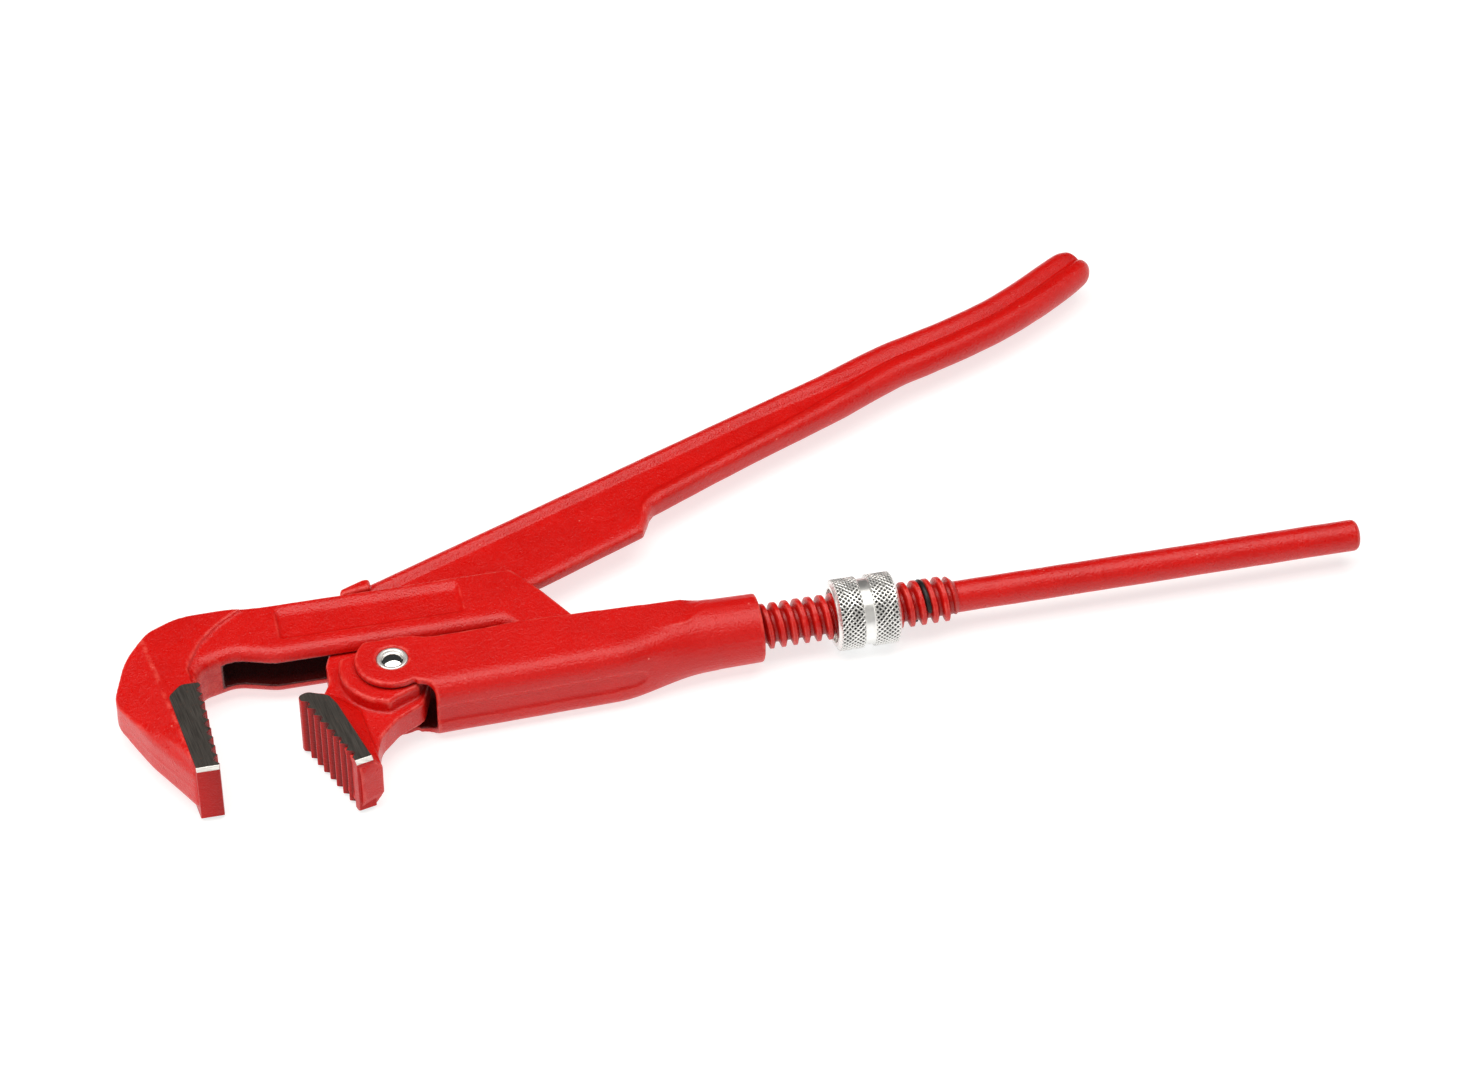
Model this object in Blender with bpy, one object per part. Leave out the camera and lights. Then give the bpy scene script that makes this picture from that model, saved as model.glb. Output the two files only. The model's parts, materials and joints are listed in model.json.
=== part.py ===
"""Lever-type 90 degree pipe wrench, nominal 1 inch, lying flat with its jaws open.

Working axes while the shapes are made: origin on the pivot pin at mid thickness, +X along the rod
towards its free end, +Y towards the long handle, +Z out of the flat side. All lengths are in
millimetres until a mesh is stored. The last lines move everything so that the origin is at the
bottom centre of the overall box.
"""

import math

import bmesh
import bpy
from mathutils import Matrix, Vector

MM = 0.001

# Sleeve: pressed channel with two ears, rolled to a tube at its right end
SLEEVE_HALF = 9.0
SLEEVE_WALL = 1.8
SLEEVE_TUBE_R = 8.75
SLEEVE_END_X = 91.7
SLEEVE_SLOT_END_X = 75.5
SLEEVE_MOUTH_X = 8.7
EAR_R = 9.2
BEAD_HALF = 2.75
BEAD_DEPTH = 0.5

# Pivot pin
PIN_R = 3.85
PIN_HOLE_R = 3.90
PIN_HALF = 8.9
PIN_DISH_R = 3.2
PIN_DISH_DEPTH = 1.1

# Forgings
FORGED_HALF = 6.9
HEAD_HALF = 8.5
CHEEK_TOP_Y = 27.8
CHEEK_LOW_Y = 9.5
CHEEK_BEVEL = 3.3
CHEEK_BEVEL_Z = 4.7
SLOT_HALF = 3.6
NECK_HALF = 3.3
WEB_HALF = 1.8
TOOTH_PITCH = 3.0
TOOTH_DEPTH = 1.25

# Threaded spindle and plain rod
THREAD_PITCH = 3.0
THREAD_ROOT_R = 4.2
THREAD_CREST_R = 5.75
THREAD_START_X = 66.6
THREAD_TURNS = 24
THREAD_STEPS = 20
ROD_R = 4.0
ROD_END_X = 248.2

# Knurled nut
NUT_X0 = 110.5
NUT_X1 = 126.6
NUT_R = 9.05
NUT_BODY_R = 8.55
NUT_BORE_R = 6.0
NUT_MOUTH_R = 6.85
KNURLS = 42
KNURL_ROWS = 8

# Stop ring in the thread groove
RING_WIRE_R = 0.62
RING_CENTRE_R = 5.2
RING_TURNS = 22

# Handle
RIM_HALF = 3.3
RIM_START = Vector((0.9, 35.1))
RIM_ANGLE = math.radians(22.9)

# ---------------------------------------------------------------- helpers


def material(name, colour, metallic, roughness):
    """A Principled material."""
    made = bpy.data.materials.new(name)
    made.use_nodes = True
    shader = made.node_tree.nodes["Principled BSDF"]
    shader.inputs["Base Color"].default_value = (*colour, 1.0)
    shader.inputs["Metallic"].default_value = metallic
    shader.inputs["Roughness"].default_value = roughness
    return made


def add(name, points, faces, origin=(0.0, 0.0, 0.0), cutter=False):
    """A mesh object from points in millimetres, with its origin at the given place."""
    mesh = bpy.data.meshes.new(name)
    start = Vector(origin)
    mesh.from_pydata([(Vector(p) - start) * MM for p in points], [], faces)
    build = bmesh.new()
    build.from_mesh(mesh)
    bmesh.ops.recalc_face_normals(build, faces=build.faces)
    build.to_mesh(mesh)
    build.free()
    obj = bpy.data.objects.new(name, mesh)
    bpy.context.scene.collection.objects.link(obj)
    obj.location = start * MM
    obj.parent = frame
    if cutter:
        obj.hide_render = True
        obj.display_type = "WIRE"
    return obj


def boolean(target, tool, operation):
    """An exact Boolean modifier on target."""
    step = target.modifiers.new(tool.name, "BOOLEAN")
    step.object = tool
    step.operation = operation
    step.solver = "EXACT"


def rounded(corners, fixed_steps=0):
    """An outline from corners (x, y) or (x, y, radius), each radius drawn as a short arc."""
    outline = []
    count = len(corners)
    for i, corner in enumerate(corners):
        here = Vector(corner[:2])
        if len(corner) < 3:
            outline.append(tuple(here))
            continue
        back = (Vector(corners[i - 1][:2]) - here).normalized()
        on = (Vector(corners[(i + 1) % count][:2]) - here).normalized()
        half = back.angle(on) / 2
        reach = corner[2] / math.tan(half)
        centre = here + (back + on).normalized() * (corner[2] / math.sin(half))
        start = here + back * reach - centre
        turn = math.pi - 2 * half
        if back.x * on.y - back.y * on.x > 0:
            turn = -turn
        steps = fixed_steps or max(2, round(abs(turn) / math.radians(24)))
        for k in range(steps + 1):
            outline.append(tuple(centre + Matrix.Rotation(turn * k / steps, 2) @ start))
    return outline


def arc(centre, radius, start_deg, end_deg, steps):
    """Points along an arc, ends included."""
    found = []
    for k in range(steps + 1):
        angle = math.radians(start_deg + (end_deg - start_deg) * k / steps)
        found.append((centre[0] + radius * math.cos(angle), centre[1] + radius * math.sin(angle)))
    return found


def inset(outline, distance):
    """The outline moved inwards by a distance; the outline runs anticlockwise."""
    moved = []
    for i, point in enumerate(outline):
        here = Vector(point)
        first = here - Vector(outline[i - 1])
        second = Vector(outline[(i + 1) % len(outline)]) - here
        n1 = Vector((first.y, -first.x)).normalized()
        n2 = Vector((second.y, -second.x)).normalized()
        moved.append(tuple(here - (n1 + n2) * (distance / (1 + n1.dot(n2)))))
    return moved


def skin(name, rings, origin=(0.0, 0.0, 0.0), cutter=False):
    """A closed solid through rings of equal point count, with flat ends."""
    size = len(rings[0])
    points = [p for ring in rings for p in ring]
    faces = [tuple(reversed(range(size)))]
    for level in range(len(rings) - 1):
        low = level * size
        for i in range(size):
            j = (i + 1) % size
            faces.append((low + i, low + j, low + size + j, low + size + i))
    faces.append(tuple(range(len(points) - size, len(points))))
    return add(name, points, faces, origin, cutter)


def anticlockwise(outline):
    """The outline, turned round if it runs clockwise."""
    area = sum(a[0] * b[1] - a[1] * b[0] for a, b in zip(outline, outline[1:] + outline[:1]))
    return outline if area > 0 else list(reversed(outline))


def prism(name, outline, half, chamfer=0.0, origin=(0.0, 0.0, 0.0), cutter=False):
    """An outline in XY given thickness about Z = 0, with its long edges chamfered."""
    outline = anticlockwise(outline)
    if chamfer:
        small = inset(outline, chamfer)
        levels = ((small, -half), (outline, chamfer - half), (outline, half - chamfer), (small, half))
    else:
        levels = ((outline, -half), (outline, half))
    rings = [[(x, y, z) for x, y in shape] for shape, z in levels]
    return skin(name, rings, origin, cutter)


def turned(name, profile, steps, origin=(0.0, 0.0, 0.0), cutter=False):
    """A closed profile of (x, radius) points turned round the X axis; radius 0 only at its ends."""
    solid_ends = profile[0][1] == 0.0
    points = []
    faces = []
    rows = []
    for x, radius in profile:
        if radius == 0.0:
            rows.append([len(points)] * steps)
            points.append((x, 0.0, 0.0))
            continue
        rows.append(list(range(len(points), len(points) + steps)))
        for k in range(steps):
            angle = 2 * math.pi * k / steps
            points.append((x, radius * math.cos(angle), radius * math.sin(angle)))
    spans = list(zip(rows, rows[1:]))
    if not solid_ends:
        spans.append((rows[-1], rows[0]))
    for a, b in spans:
        for k in range(steps):
            n = (k + 1) % steps
            corners = []
            for index in (a[k], b[k], b[n], a[n]):
                if index not in corners:
                    corners.append(index)
            faces.append(tuple(reversed(corners)))
    return add(name, points, faces, origin, cutter)


def comb(name, start, end, depth, reach, half):
    """A cutter that leaves saw teeth along the line from start to end; the solid is on its left."""
    line = Vector(end) - Vector(start)
    along = line.normalized()
    inward = Vector((-along.y, along.x))
    count = round(line.length / TOOTH_PITCH)
    pitch = line.length / count
    outline = []
    for k in range(count):
        at = Vector(start) + along * (pitch * k)
        outline.append(tuple(at + along * (0.10 * pitch)))
        outline.append(tuple(at + along * (0.48 * pitch) + inward * depth))
        outline.append(tuple(at + along * (0.66 * pitch) + inward * depth))
        outline.append(tuple(at + along * (0.98 * pitch)))
    far = Vector(end) + along * 4.0
    near = Vector(start) - along * 4.0
    outline.append(tuple(far))
    outline.append(tuple(far - inward * reach))
    outline.append(tuple(near - inward * reach))
    outline.append(tuple(near))
    return prism(name, outline, half, cutter=True)


def smooth(obj):
    """Round pieces shade smoothly, with edges over 35 degrees left sharp."""
    for polygon in obj.data.polygons:
        polygon.use_smooth = True
    obj.data.set_sharp_from_angle(angle=math.radians(35))


# ---------------------------------------------------------------- start

for old in list(bpy.data.objects):
    bpy.data.objects.remove(old, do_unlink=True)

frame = bpy.data.objects.new("wrench_frame", None)
bpy.context.scene.collection.objects.link(frame)

hook_paint = material("hook_red_paint", (0.62, 0.01, 0.012), 0.0, 0.38)
handle_paint = material("handle_red_paint", (0.60, 0.012, 0.012), 0.0, 0.38)
sleeve_paint = material("sleeve_red_paint", (0.61, 0.011, 0.013), 0.0, 0.36)
nut_chrome = material("nut_chrome", (0.78, 0.78, 0.77), 1.0, 0.2)
pin_steel = material("pin_polished_steel", (0.7, 0.69, 0.67), 1.0, 0.15)
ring_black = material("ring_black_steel", (0.02, 0.02, 0.02), 0.6, 0.45)

# ---------------------------------------------------------------- hook jaw with shank, thread and rod

# corners anticlockwise: x, y, radius, inward slope of the flat side (right and up)
hook_corners = (
    (-44.6, -27.7, 0.0, (-0.7, 0.7)),
    (-44.6, 3.0, 0.0, (-1.2, 0.7)),
    (-46.6, 4.2, 0.0, (-1.6, 1.2)),
    (-47.4, 7.0, 2.0, (-1.9, 1.8)),
    (-44.7, 10.5, 4.0, (-1.8, 2.8)),
    (-37.0, 12.6, 8.0, (-0.6, CHEEK_BEVEL)),
    (-27.5, CHEEK_LOW_Y, 10.0, (0.0, CHEEK_BEVEL)),
    (30.0, CHEEK_LOW_Y, 2.5, (0.4, CHEEK_BEVEL)),
    (33.0, 6.0, 1.5, (0.8, 0.8)),
    (33.0, -7.5, 0.0, (0.7, 0.7)),
    (38.5, -7.5, 2.0, (0.0, 0.7)),
    (46.0, -2.5, 2.0, (-0.7, 0.2)),
    (47.6, 6.0, 1.8, (-0.7, 0.0)),
    (41.0, 18.0, 14.0, (-0.7, -0.2)),
    (34.5, CHEEK_TOP_Y, 1.8, (-0.4, -0.7)),
    (-29.0, CHEEK_TOP_Y, 10.0, (0.0, -0.7)),
    (-37.5, 28.5, 10.0, (0.0, -0.6)),
    (-49.5, 27.9, 16.0, (0.2, -0.7)),
    (-57.2, 23.9, 12.0, (0.6, -0.6)),
    (-63.3, 16.0, 20.0, (0.8, -0.4)),
    (-68.5, 4.4, 9.0, (0.9, 0.0)),
    (-60.8, -11.6, 30.0, (0.8, 0.4)),
    (-52.2, -26.4, 2.5, (0.7, 0.5)),
    (-49.8, -27.7, 0.0, (0.0, 0.7)),
)
wide = rounded([corner[:3] if corner[2] else corner[:2] for corner in hook_corners], 3)
sloped = [(x + dx, y + dy, radius) for x, y, radius, (dx, dy) in hook_corners]
narrow = rounded([corner if corner[2] else corner[:2] for corner in sloped], 3)
hook_levels = ((narrow, -FORGED_HALF), (wide, -CHEEK_BEVEL_Z), (wide, CHEEK_BEVEL_Z), (narrow, FORGED_HALF))
hook = skin("hook_jaw", [[(x, y, z) for x, y in shape] for shape, z in hook_levels])
hook.data.materials.append(hook_paint)

# thicker head; its right edge is the curved step down to the cheeks
head_outline = rounded(
    [
        (-44.5, -27.7),
        (-44.5, 1.8),
        (-47.6, 3.8, 2.0),
        (-48.7, 8.7, 4.0),
        (-44.7, 16.9, 14.0),
        (-39.1, 22.7, 14.0),
        (-33.1, 27.2),
        (-38.1, 27.9, 10.0),
        (-49.6, 27.4, 16.0),
        (-57.0, 23.5, 12.0),
        (-63.1, 15.5, 20.0),
        (-68.3, 4.2, 9.0),
        (-60.9, -11.8, 30.0),
        (-52.4, -26.3, 2.5),
        (-49.9, -27.7),
    ]
)
boolean(hook, prism("tool_head", head_outline, HEAD_HALF, 0.8, cutter=True), "UNION")


def thread_rows():
    """The spindle and rod as one closed surface: a helical ridge between plain round ends."""
    steps = THREAD_STEPS
    profile = (
        (0.0, THREAD_ROOT_R),
        (0.75, THREAD_ROOT_R),
        (1.35, THREAD_CREST_R),
        (2.40, THREAD_CREST_R),
    )
    per_column = len(profile) * THREAD_TURNS + 1
    points = []
    faces = []
    for k in range(steps):
        angle = 2 * math.pi * k / steps
        for m in range(per_column):
            turn, j = divmod(m, len(profile))
            offset, radius = profile[j]
            travelled = turn + k / steps
            left = THREAD_TURNS - travelled
            height = min(1.0, 0.15 + 1.7 * min(travelled, max(left, 0.0)))
            radius = THREAD_ROOT_R + (radius - THREAD_ROOT_R) * height
            x = THREAD_START_X + THREAD_PITCH * travelled + offset
            points.append((x, radius * math.cos(angle), radius * math.sin(angle)))
    for k in range(steps - 1):
        a = k * per_column
        b = a + per_column
        for m in range(per_column - 1):
            faces.append((a + m, b + m, b + m + 1, a + m + 1))
    # the last column meets the first one turn further on
    a = (steps - 1) * per_column
    shift = len(profile)
    for m in range(per_column - 1 - shift):
        faces.append((a + m, m + shift, m + shift + 1, a + m + 1))
    return points, faces, per_column, shift


def spindle(name):
    """Shank, thread and rod round the X axis."""
    steps = THREAD_STEPS
    points, faces, per_column, shift = thread_rows()

    def ring(x, radius):
        first = len(points)
        for k in range(steps):
            angle = 2 * math.pi * k / steps
            points.append((x, radius * math.cos(angle), radius * math.sin(angle)))
        return first

    def band(a, b):
        for k in range(steps):
            n = (k + 1) % steps
            faces.append((a + k, a + n, b + n, b + k))

    # left of the thread
    tip = ring(THREAD_START_X - 18.6, 5.3)
    neck = ring(THREAD_START_X - 2.5, 5.3)
    root = ring(THREAD_START_X - 1.5, THREAD_ROOT_R)
    faces.append(tuple(tip + k for k in reversed(range(steps))))
    band(tip, neck)
    band(neck, root)
    for k in range(steps - 1):
        faces.append((root + k, root + k + 1, (k + 1) * per_column, k * per_column))
    last = (steps - 1) * per_column
    faces.append((root + steps - 1, root, 0, 1, shift, last))
    faces.append(tuple(range(1, shift + 1)))
    # right of the thread
    end_x = THREAD_START_X + THREAD_PITCH * (THREAD_TURNS + 1)
    shoulder = ring(end_x + 0.3, THREAD_ROOT_R)
    top = per_column - 1
    for k in range(steps - 1):
        faces.append((k * per_column + top, (k + 1) * per_column + top, shoulder + k + 1, shoulder + k))
    inner = last + top - shift
    faces.append((inner, top, shoulder, shoulder + steps - 1, last + top, inner + 1))
    faces.append(tuple(range(last + top, inner, -1)))
    rod = ring(end_x + 0.8, ROD_R)
    band(shoulder, rod)
    chamfer = ring(ROD_END_X - 1.4, ROD_R)
    band(rod, chamfer)
    nose = ring(ROD_END_X - 0.4, ROD_R - 0.6)
    band(chamfer, nose)
    flat = ring(ROD_END_X, ROD_R - 1.3)
    band(nose, flat)
    faces.append(tuple(flat + k for k in range(steps)))
    return add(name, points, faces, cutter=True)


spindle_tool = spindle("tool_spindle")


def box_to_round(name):
    """The shank's taper from its square block to the round spindle."""
    square_x, round_x = 43.0, 55.0
    low, high, half = -7.2, 6.2, FORGED_HALF - 0.4
    rings = []
    for share in (0.0, 0.25, 0.5, 0.75, 1.0):
        blend = share * share * (3 - 2 * share)
        ring = []
        for k in range(24):
            angle = 2 * math.pi * k / 24
            c, s = math.cos(angle), math.sin(angle)
            scale = 1.0 / max(abs(c), abs(s)) ** 0.8
            y = (low + high) / 2 + (high - low) / 2 * c * scale
            z = half * s * scale
            y = min(max(y, low), high)
            z = min(max(z, -half), half)
            ring.append(
                (
                    square_x + (round_x - square_x) * share,
                    y * (1 - blend) + 4.8 * c * blend,
                    z * (1 - blend) + 4.8 * s * blend,
                )
            )
        rings.append(ring)
    return skin(name, rings, cutter=True)


boolean(hook, box_to_round("tool_taper"), "UNION")
boolean(hook, spindle_tool, "UNION")

# slot between the two cheeks, with a web only low down at the right
hook_slot = rounded(
    [
        (-40.2, -2.0),
        (29.0, -2.0),
        (31.0, 0.5),
        (35.0, 4.5),
        (46.0, 4.5),
        (50.0, 8.0),
        (60.0, 8.0),
        (60.0, 40.0),
        (-40.2, 40.0),
    ]
)
boolean(hook, prism("cut_hook_slot", hook_slot, SLOT_HALF, cutter=True), "DIFFERENCE")

# teeth, facing the lower jaw
hook_teeth = comb("cut_hook_teeth", (-46.0, -26.2), (-46.8, 1.6), TOOTH_DEPTH, 8.0, 10.0)


def facet(name, side):
    """A cutter that slopes the outer half of the hook's flat side down towards its back."""
    top = side * HEAD_HALF
    rise = side * 12.0
    ridge_high = Vector((-61.0, 31.0, top))
    ridge_low = Vector((-51.2, -31.0, top))
    drop = Vector((-14.0, -2.2, -side * 5.7))
    base = [ridge_high, ridge_high + drop, ridge_low + drop, ridge_low]
    lifted = [p + Vector((0.0, 0.0, rise)) for p in base]
    return skin(name, [[tuple(p) for p in ring] for ring in (base, lifted)], cutter=True)


boolean(hook, hook_teeth, "DIFFERENCE")
boolean(hook, facet("cut_hook_facet_top", 1), "DIFFERENCE")
boolean(hook, facet("cut_hook_facet_under", -1), "DIFFERENCE")

# shallow panel on each cheek, left plain
PANEL = rounded([(-25.5, 14.6, 1.0), (20.5, 14.6, 1.0), (20.5, 26.0, 1.0), (-25.5, 26.0, 1.0)])
for side, label in ((1, "top"), (-1, "under")):
    low = side * (FORGED_HALF - 0.5)
    high = side * (FORGED_HALF + 2.0)
    rings = [[(x, y, z) for x, y in PANEL] for z in sorted((low, high))]
    boolean(hook, skin("cut_panel_" + label, rings, cutter=True), "DIFFERENCE")

# ---------------------------------------------------------------- lower jaw with the long handle

HANDLE_LINE_END = 131.0
handle_stations = (
    # distance along the rim, width, rim width, lower rim half thickness, web half thickness
    (-8.0, 21.0, 2.6, WEB_HALF, WEB_HALF),
    (8.0, 22.5, 2.6, WEB_HALF, WEB_HALF),
    (35.4, 23.4, 2.6, WEB_HALF, WEB_HALF),
    (66.5, 22.7, 2.6, WEB_HALF, WEB_HALF),
    (69.4, 20.2, 2.6, WEB_HALF + 0.2, WEB_HALF),
    (71.2, 18.4, 2.6, WEB_HALF + 0.6, WEB_HALF),
    (73.6, 17.0, 2.6, 2.9, WEB_HALF),
    (77.5, 16.6, 2.6, RIM_HALF, WEB_HALF),
    (95.0, 15.6, 2.6, RIM_HALF, WEB_HALF),
    (113.0, 14.8, 2.7, RIM_HALF, WEB_HALF),
    (126.0, 14.6, 3.2, 3.5, WEB_HALF),
    (137.0, 14.4, 4.2, 3.7, WEB_HALF),
)
# grip beyond the straight part: centre points, width, lobe half thickness
grip_stations = (
    (147.0, 90.2, 14.1, 3.7),
    (158.0, 94.2, 13.7, 3.8),
    (170.0, 98.7, 13.3, 3.8),
    (181.0, 103.6, 13.1, 3.8),
    (191.0, 109.3, 13.0, 3.8),
    (200.0, 115.3, 13.0, 3.7),
    (205.6, 119.3, 12.4, 3.4),
    (208.3, 121.2, 10.4, 2.6),
)


def handle_section(centre, across, width, rim, upper_half, lower_half, web_half):
    """One closed ring: two rims joined by a thinner web; across points to the upper rim."""
    half = width / 2
    side = [
        (half, 0.0),
        (half - 0.07 * rim, 0.5 * upper_half),
        (half - 0.25 * rim, 0.87 * upper_half),
        (half - 0.5 * rim, upper_half),
        (half - 0.78 * rim, 0.8 * upper_half + 0.2 * web_half),
        (half - rim, web_half),
        (rim - half, web_half),
        (0.78 * rim - half, 0.8 * lower_half + 0.2 * web_half),
        (0.5 * rim - half, lower_half),
        (0.25 * rim - half, 0.87 * lower_half),
        (0.07 * rim - half, 0.5 * lower_half),
        (-half, 0.0),
    ]
    ring = [(u, z) for u, z in side] + [(u, -z) for u, z in reversed(side[1:-1])]
    return [(centre.x + across.x * u, centre.y + across.y * u, z) for u, z in ring]


def handle_rings():
    """Rings along the handle from inside the shank's slot to the end of the grip."""
    along = Vector((math.cos(RIM_ANGLE), math.sin(RIM_ANGLE)))
    across = Vector((-along.y, along.x))
    rings = []
    for distance, width, rim, lower, web in handle_stations:
        centre = RIM_START + along * distance - across * (width / 2)
        rings.append(handle_section(centre, across, width, rim, RIM_HALF, lower, web))
    count = len(grip_stations)
    for i, (x, y, width, lobe) in enumerate(grip_stations):
        before = Vector(grip_stations[max(i - 1, 0)][:2])
        after = Vector(grip_stations[min(i + 1, count - 1)][:2])
        heading = (after - before).normalized()
        side = Vector((-heading.y, heading.x))
        valley = 1.6 if i < count - 1 else 1.2
        rings.append(handle_section(Vector((x, y)), side, width, width * 0.47, lobe, lobe, valley))
    return rings


handle = skin("handle_jaw", handle_rings())
handle.data.materials.append(handle_paint)

# plate that carries the pin and the lower jaw and runs up through the shank's slot
plate_outline = rounded(
    [
        (-12.5, -32.5),
        (-8.6, -31.0, 1.2),
        (-8.0, -26.0, 4.0),
        (-6.2, -20.6, 7.0),
        (-1.4, -15.6, 6.0),
        (5.6, -11.6, 3.0),
        (8.4, -4.0, 3.0),
        (9.5, 3.0, 3.0),
        (13.0, 12.5, 3.0),
        (24.0, 19.4),
        (20.0, 28.0),
        (4.0, 31.0),
        (-5.5, 29.6),
        (-8.7, 27.0),
        (-15.6, 7.0, 4.0),
        (-15.9, 0.5, 3.0),
        (-19.3, -6.0),
        (-22.0, -8.0),
    ]
)
boolean(handle, prism("tool_plate", plate_outline, NECK_HALF, cutter=True), "UNION")

boss_outline = arc((0.0, 0.0), 13.2, 158.0, 258.0, 9)
boss_outline += [(-0.8, -11.6), (5.0, -9.0)]
boss_outline += arc((0.0, 0.0), 8.6, -40.0, 140.0, 10)
boolean(handle, prism("tool_boss", boss_outline, FORGED_HALF, 0.7, cutter=True), "UNION")

# tooth pad: flat along the teeth, its back sloping down to the plate
pad_corners = [(-14.1, -33.6), (-9.8, -32.4), (-15.7, -12.0, 2.0), (-17.1, -8.2, 2.0), (-22.4, -6.6, 2.0), (-26.2, -9.6)]
pad_top = rounded(pad_corners, 3)
pad_corners = [(-12.9, -34.8), (-7.8, -32.0), (-10.0, -11.0, 2.0), (-14.4, -5.6, 2.0), (-22.2, -5.5, 2.0), (-26.2, -8.6)]
pad_base = rounded(pad_corners, 3)
pad_levels = (
    (inset(pad_top, 0.4), -HEAD_HALF),
    (pad_top, 0.6 - HEAD_HALF),
    (pad_base, -4.2),
    (pad_base, 4.2),
    (pad_top, HEAD_HALF - 0.6),
    (inset(pad_top, 0.4), HEAD_HALF),
)
pad = skin("tool_pad", [[(x, y, z) for x, y in shape] for shape, z in pad_levels], cutter=True)
boolean(handle, pad, "UNION")

# stop lug that meets the cheeks' upper edges when the handle is fully open
lug_outline = rounded([(-8.7, 27.85), (-0.6, 29.2), (-0.4, 32.7, 0.8), (-2.4, 32.6, 0.8), (-8.2, 30.2, 0.8)])
boolean(handle, prism("tool_stop_lug", lug_outline, 6.4, 0.6, cutter=True), "UNION")

jaw_teeth = comb("cut_jaw_teeth", (-23.6, -8.4), (-14.9, -31.4), TOOTH_DEPTH, 8.0, 10.0)
boolean(handle, jaw_teeth, "DIFFERENCE")


def pin_cutter(name):
    """A round cutter on the pin's axis."""
    return prism(name, arc((0.0, 0.0), PIN_HOLE_R, 0.0, 360.0 * 63 / 64, 63), 14.0, cutter=True)


boolean(handle, pin_cutter("cut_handle_bore"), "DIFFERENCE")

# ---------------------------------------------------------------- sleeve

# angles round the tube for the points of a half ring, from its bottom to its top
CIRCLE_DEG = (-90, -78, -66, -54, -43, -32, -22, -13, 2, 17, 31, 46, 60, 75, 90)
LIP = 11


def ease(x, start, length):
    """0 before start and 1 after start + length, with a smooth change between."""
    t = min(max((x - start) / length, 0.0), 1.0)
    return t * t * (3 - 2 * t)


def sleeve_half_ring(x, inset_by):
    """Points (y, z) of the sleeve at x, from bottom centre round its +Z side to the top centre."""
    half = SLEEVE_HALF - inset_by
    low = -13.35 + 0.0265 * max(x - SLEEVE_MOUTH_X, 0.0) + inset_by
    high = 7.4 if x < 10.0 else 6.3
    corner = 5.0 - inset_by
    flat = half - corner
    box = [(low, 0.0), (low, flat / 3), (low, flat * 2 / 3), (low, flat)]
    for angle in (22.5, 45.0, 67.5):
        s, c = math.sin(math.radians(angle)), math.cos(math.radians(angle))
        box.append((low + corner * (1 - c), flat + corner * s))
    start = low + corner
    box += [(start + (high - start) * t, half) for t in (0.0, 0.25, 0.5, 0.75, 1.0)]
    box += [(high, half * 0.66), (high, half * 0.33), (high, 0.0)]
    radius = SLEEVE_TUBE_R - inset_by
    points = []
    for i, ((y, z), degrees) in enumerate(zip(box, CIRCLE_DEG)):
        share = ease(x, 54.0, 25.0) if i < 8 else ease(x, 67.0, 12.5)
        angle = math.radians(degrees)
        points.append(
            (
                y * (1 - share) + radius * math.sin(angle) * share,
                z * (1 - share) + radius * math.cos(angle) * share,
            )
        )
    return points


def sleeve_shell(name):
    """The bent sheet: a channel open at the top, closing to a tube beyond the slot's end."""
    channel_x = [-11.0, SLEEVE_MOUTH_X, 32.0, 54.0, 58.5, 62.5, 66.5, 71.0, SLEEVE_SLOT_END_X]
    tube_x = [SLEEVE_SLOT_END_X, 79.0, SLEEVE_END_X]
    points = []
    faces = []

    def lay(x, inset_by):
        """Indices of a whole loop: lip, bottom, lip, and over the top only where it is a tube."""
        half = sleeve_half_ring(x, inset_by)
        path = half[LIP::-1] + [(y, -z) for y, z in half[1 : LIP + 1]]
        over = [(y, -z) for y, z in half[LIP + 1 : -1]] + [half[-1]] + half[-2:LIP:-1]
        first = len(points)
        points.extend((x, y, z) for y, z in path + over)
        return list(range(first, first + len(path))), list(range(first + len(path), len(points)))

    def strip(a, b):
        for i in range(len(a) - 1):
            faces.append((a[i], a[i + 1], b[i + 1], b[i]))

    rows = {}
    for x in channel_x + tube_x[1:]:
        for inset_by in (0.0, SLEEVE_WALL):
            rows[x, inset_by] = lay(x, inset_by)
    for a, b in zip(channel_x, channel_x[1:]):
        for inset_by in (0.0, SLEEVE_WALL):
            strip(rows[a, inset_by][0], rows[b, inset_by][0])
        for end in (0, -1):
            outer = (rows[a, 0.0][0][end], rows[b, 0.0][0][end])
            inner = (rows[a, SLEEVE_WALL][0][end], rows[b, SLEEVE_WALL][0][end])
            faces.append((outer[0], outer[1], inner[1], inner[0]))
    strip(rows[channel_x[0], 0.0][0], rows[channel_x[0], SLEEVE_WALL][0])

    def whole(x, inset_by):
        path, over = rows[x, inset_by]
        return path + over + path[:1]

    def top(x, inset_by):
        path, over = rows[x, inset_by]
        return path[-1:] + over + path[:1]

    strip(top(SLEEVE_SLOT_END_X, 0.0), top(SLEEVE_SLOT_END_X, SLEEVE_WALL))
    for a, b in zip(tube_x, tube_x[1:]):
        for inset_by in (0.0, SLEEVE_WALL):
            strip(whole(a, inset_by), whole(b, inset_by))
    strip(whole(SLEEVE_END_X, 0.0), whole(SLEEVE_END_X, SLEEVE_WALL))
    used = sorted({i for face in faces for i in face})
    place = {old: new for new, old in enumerate(used)}
    return add(name, [points[i] for i in used], [tuple(place[i] for i in face) for face in faces])


sleeve = sleeve_shell("sleeve")
sleeve.data.materials.append(sleeve_paint)

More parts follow.
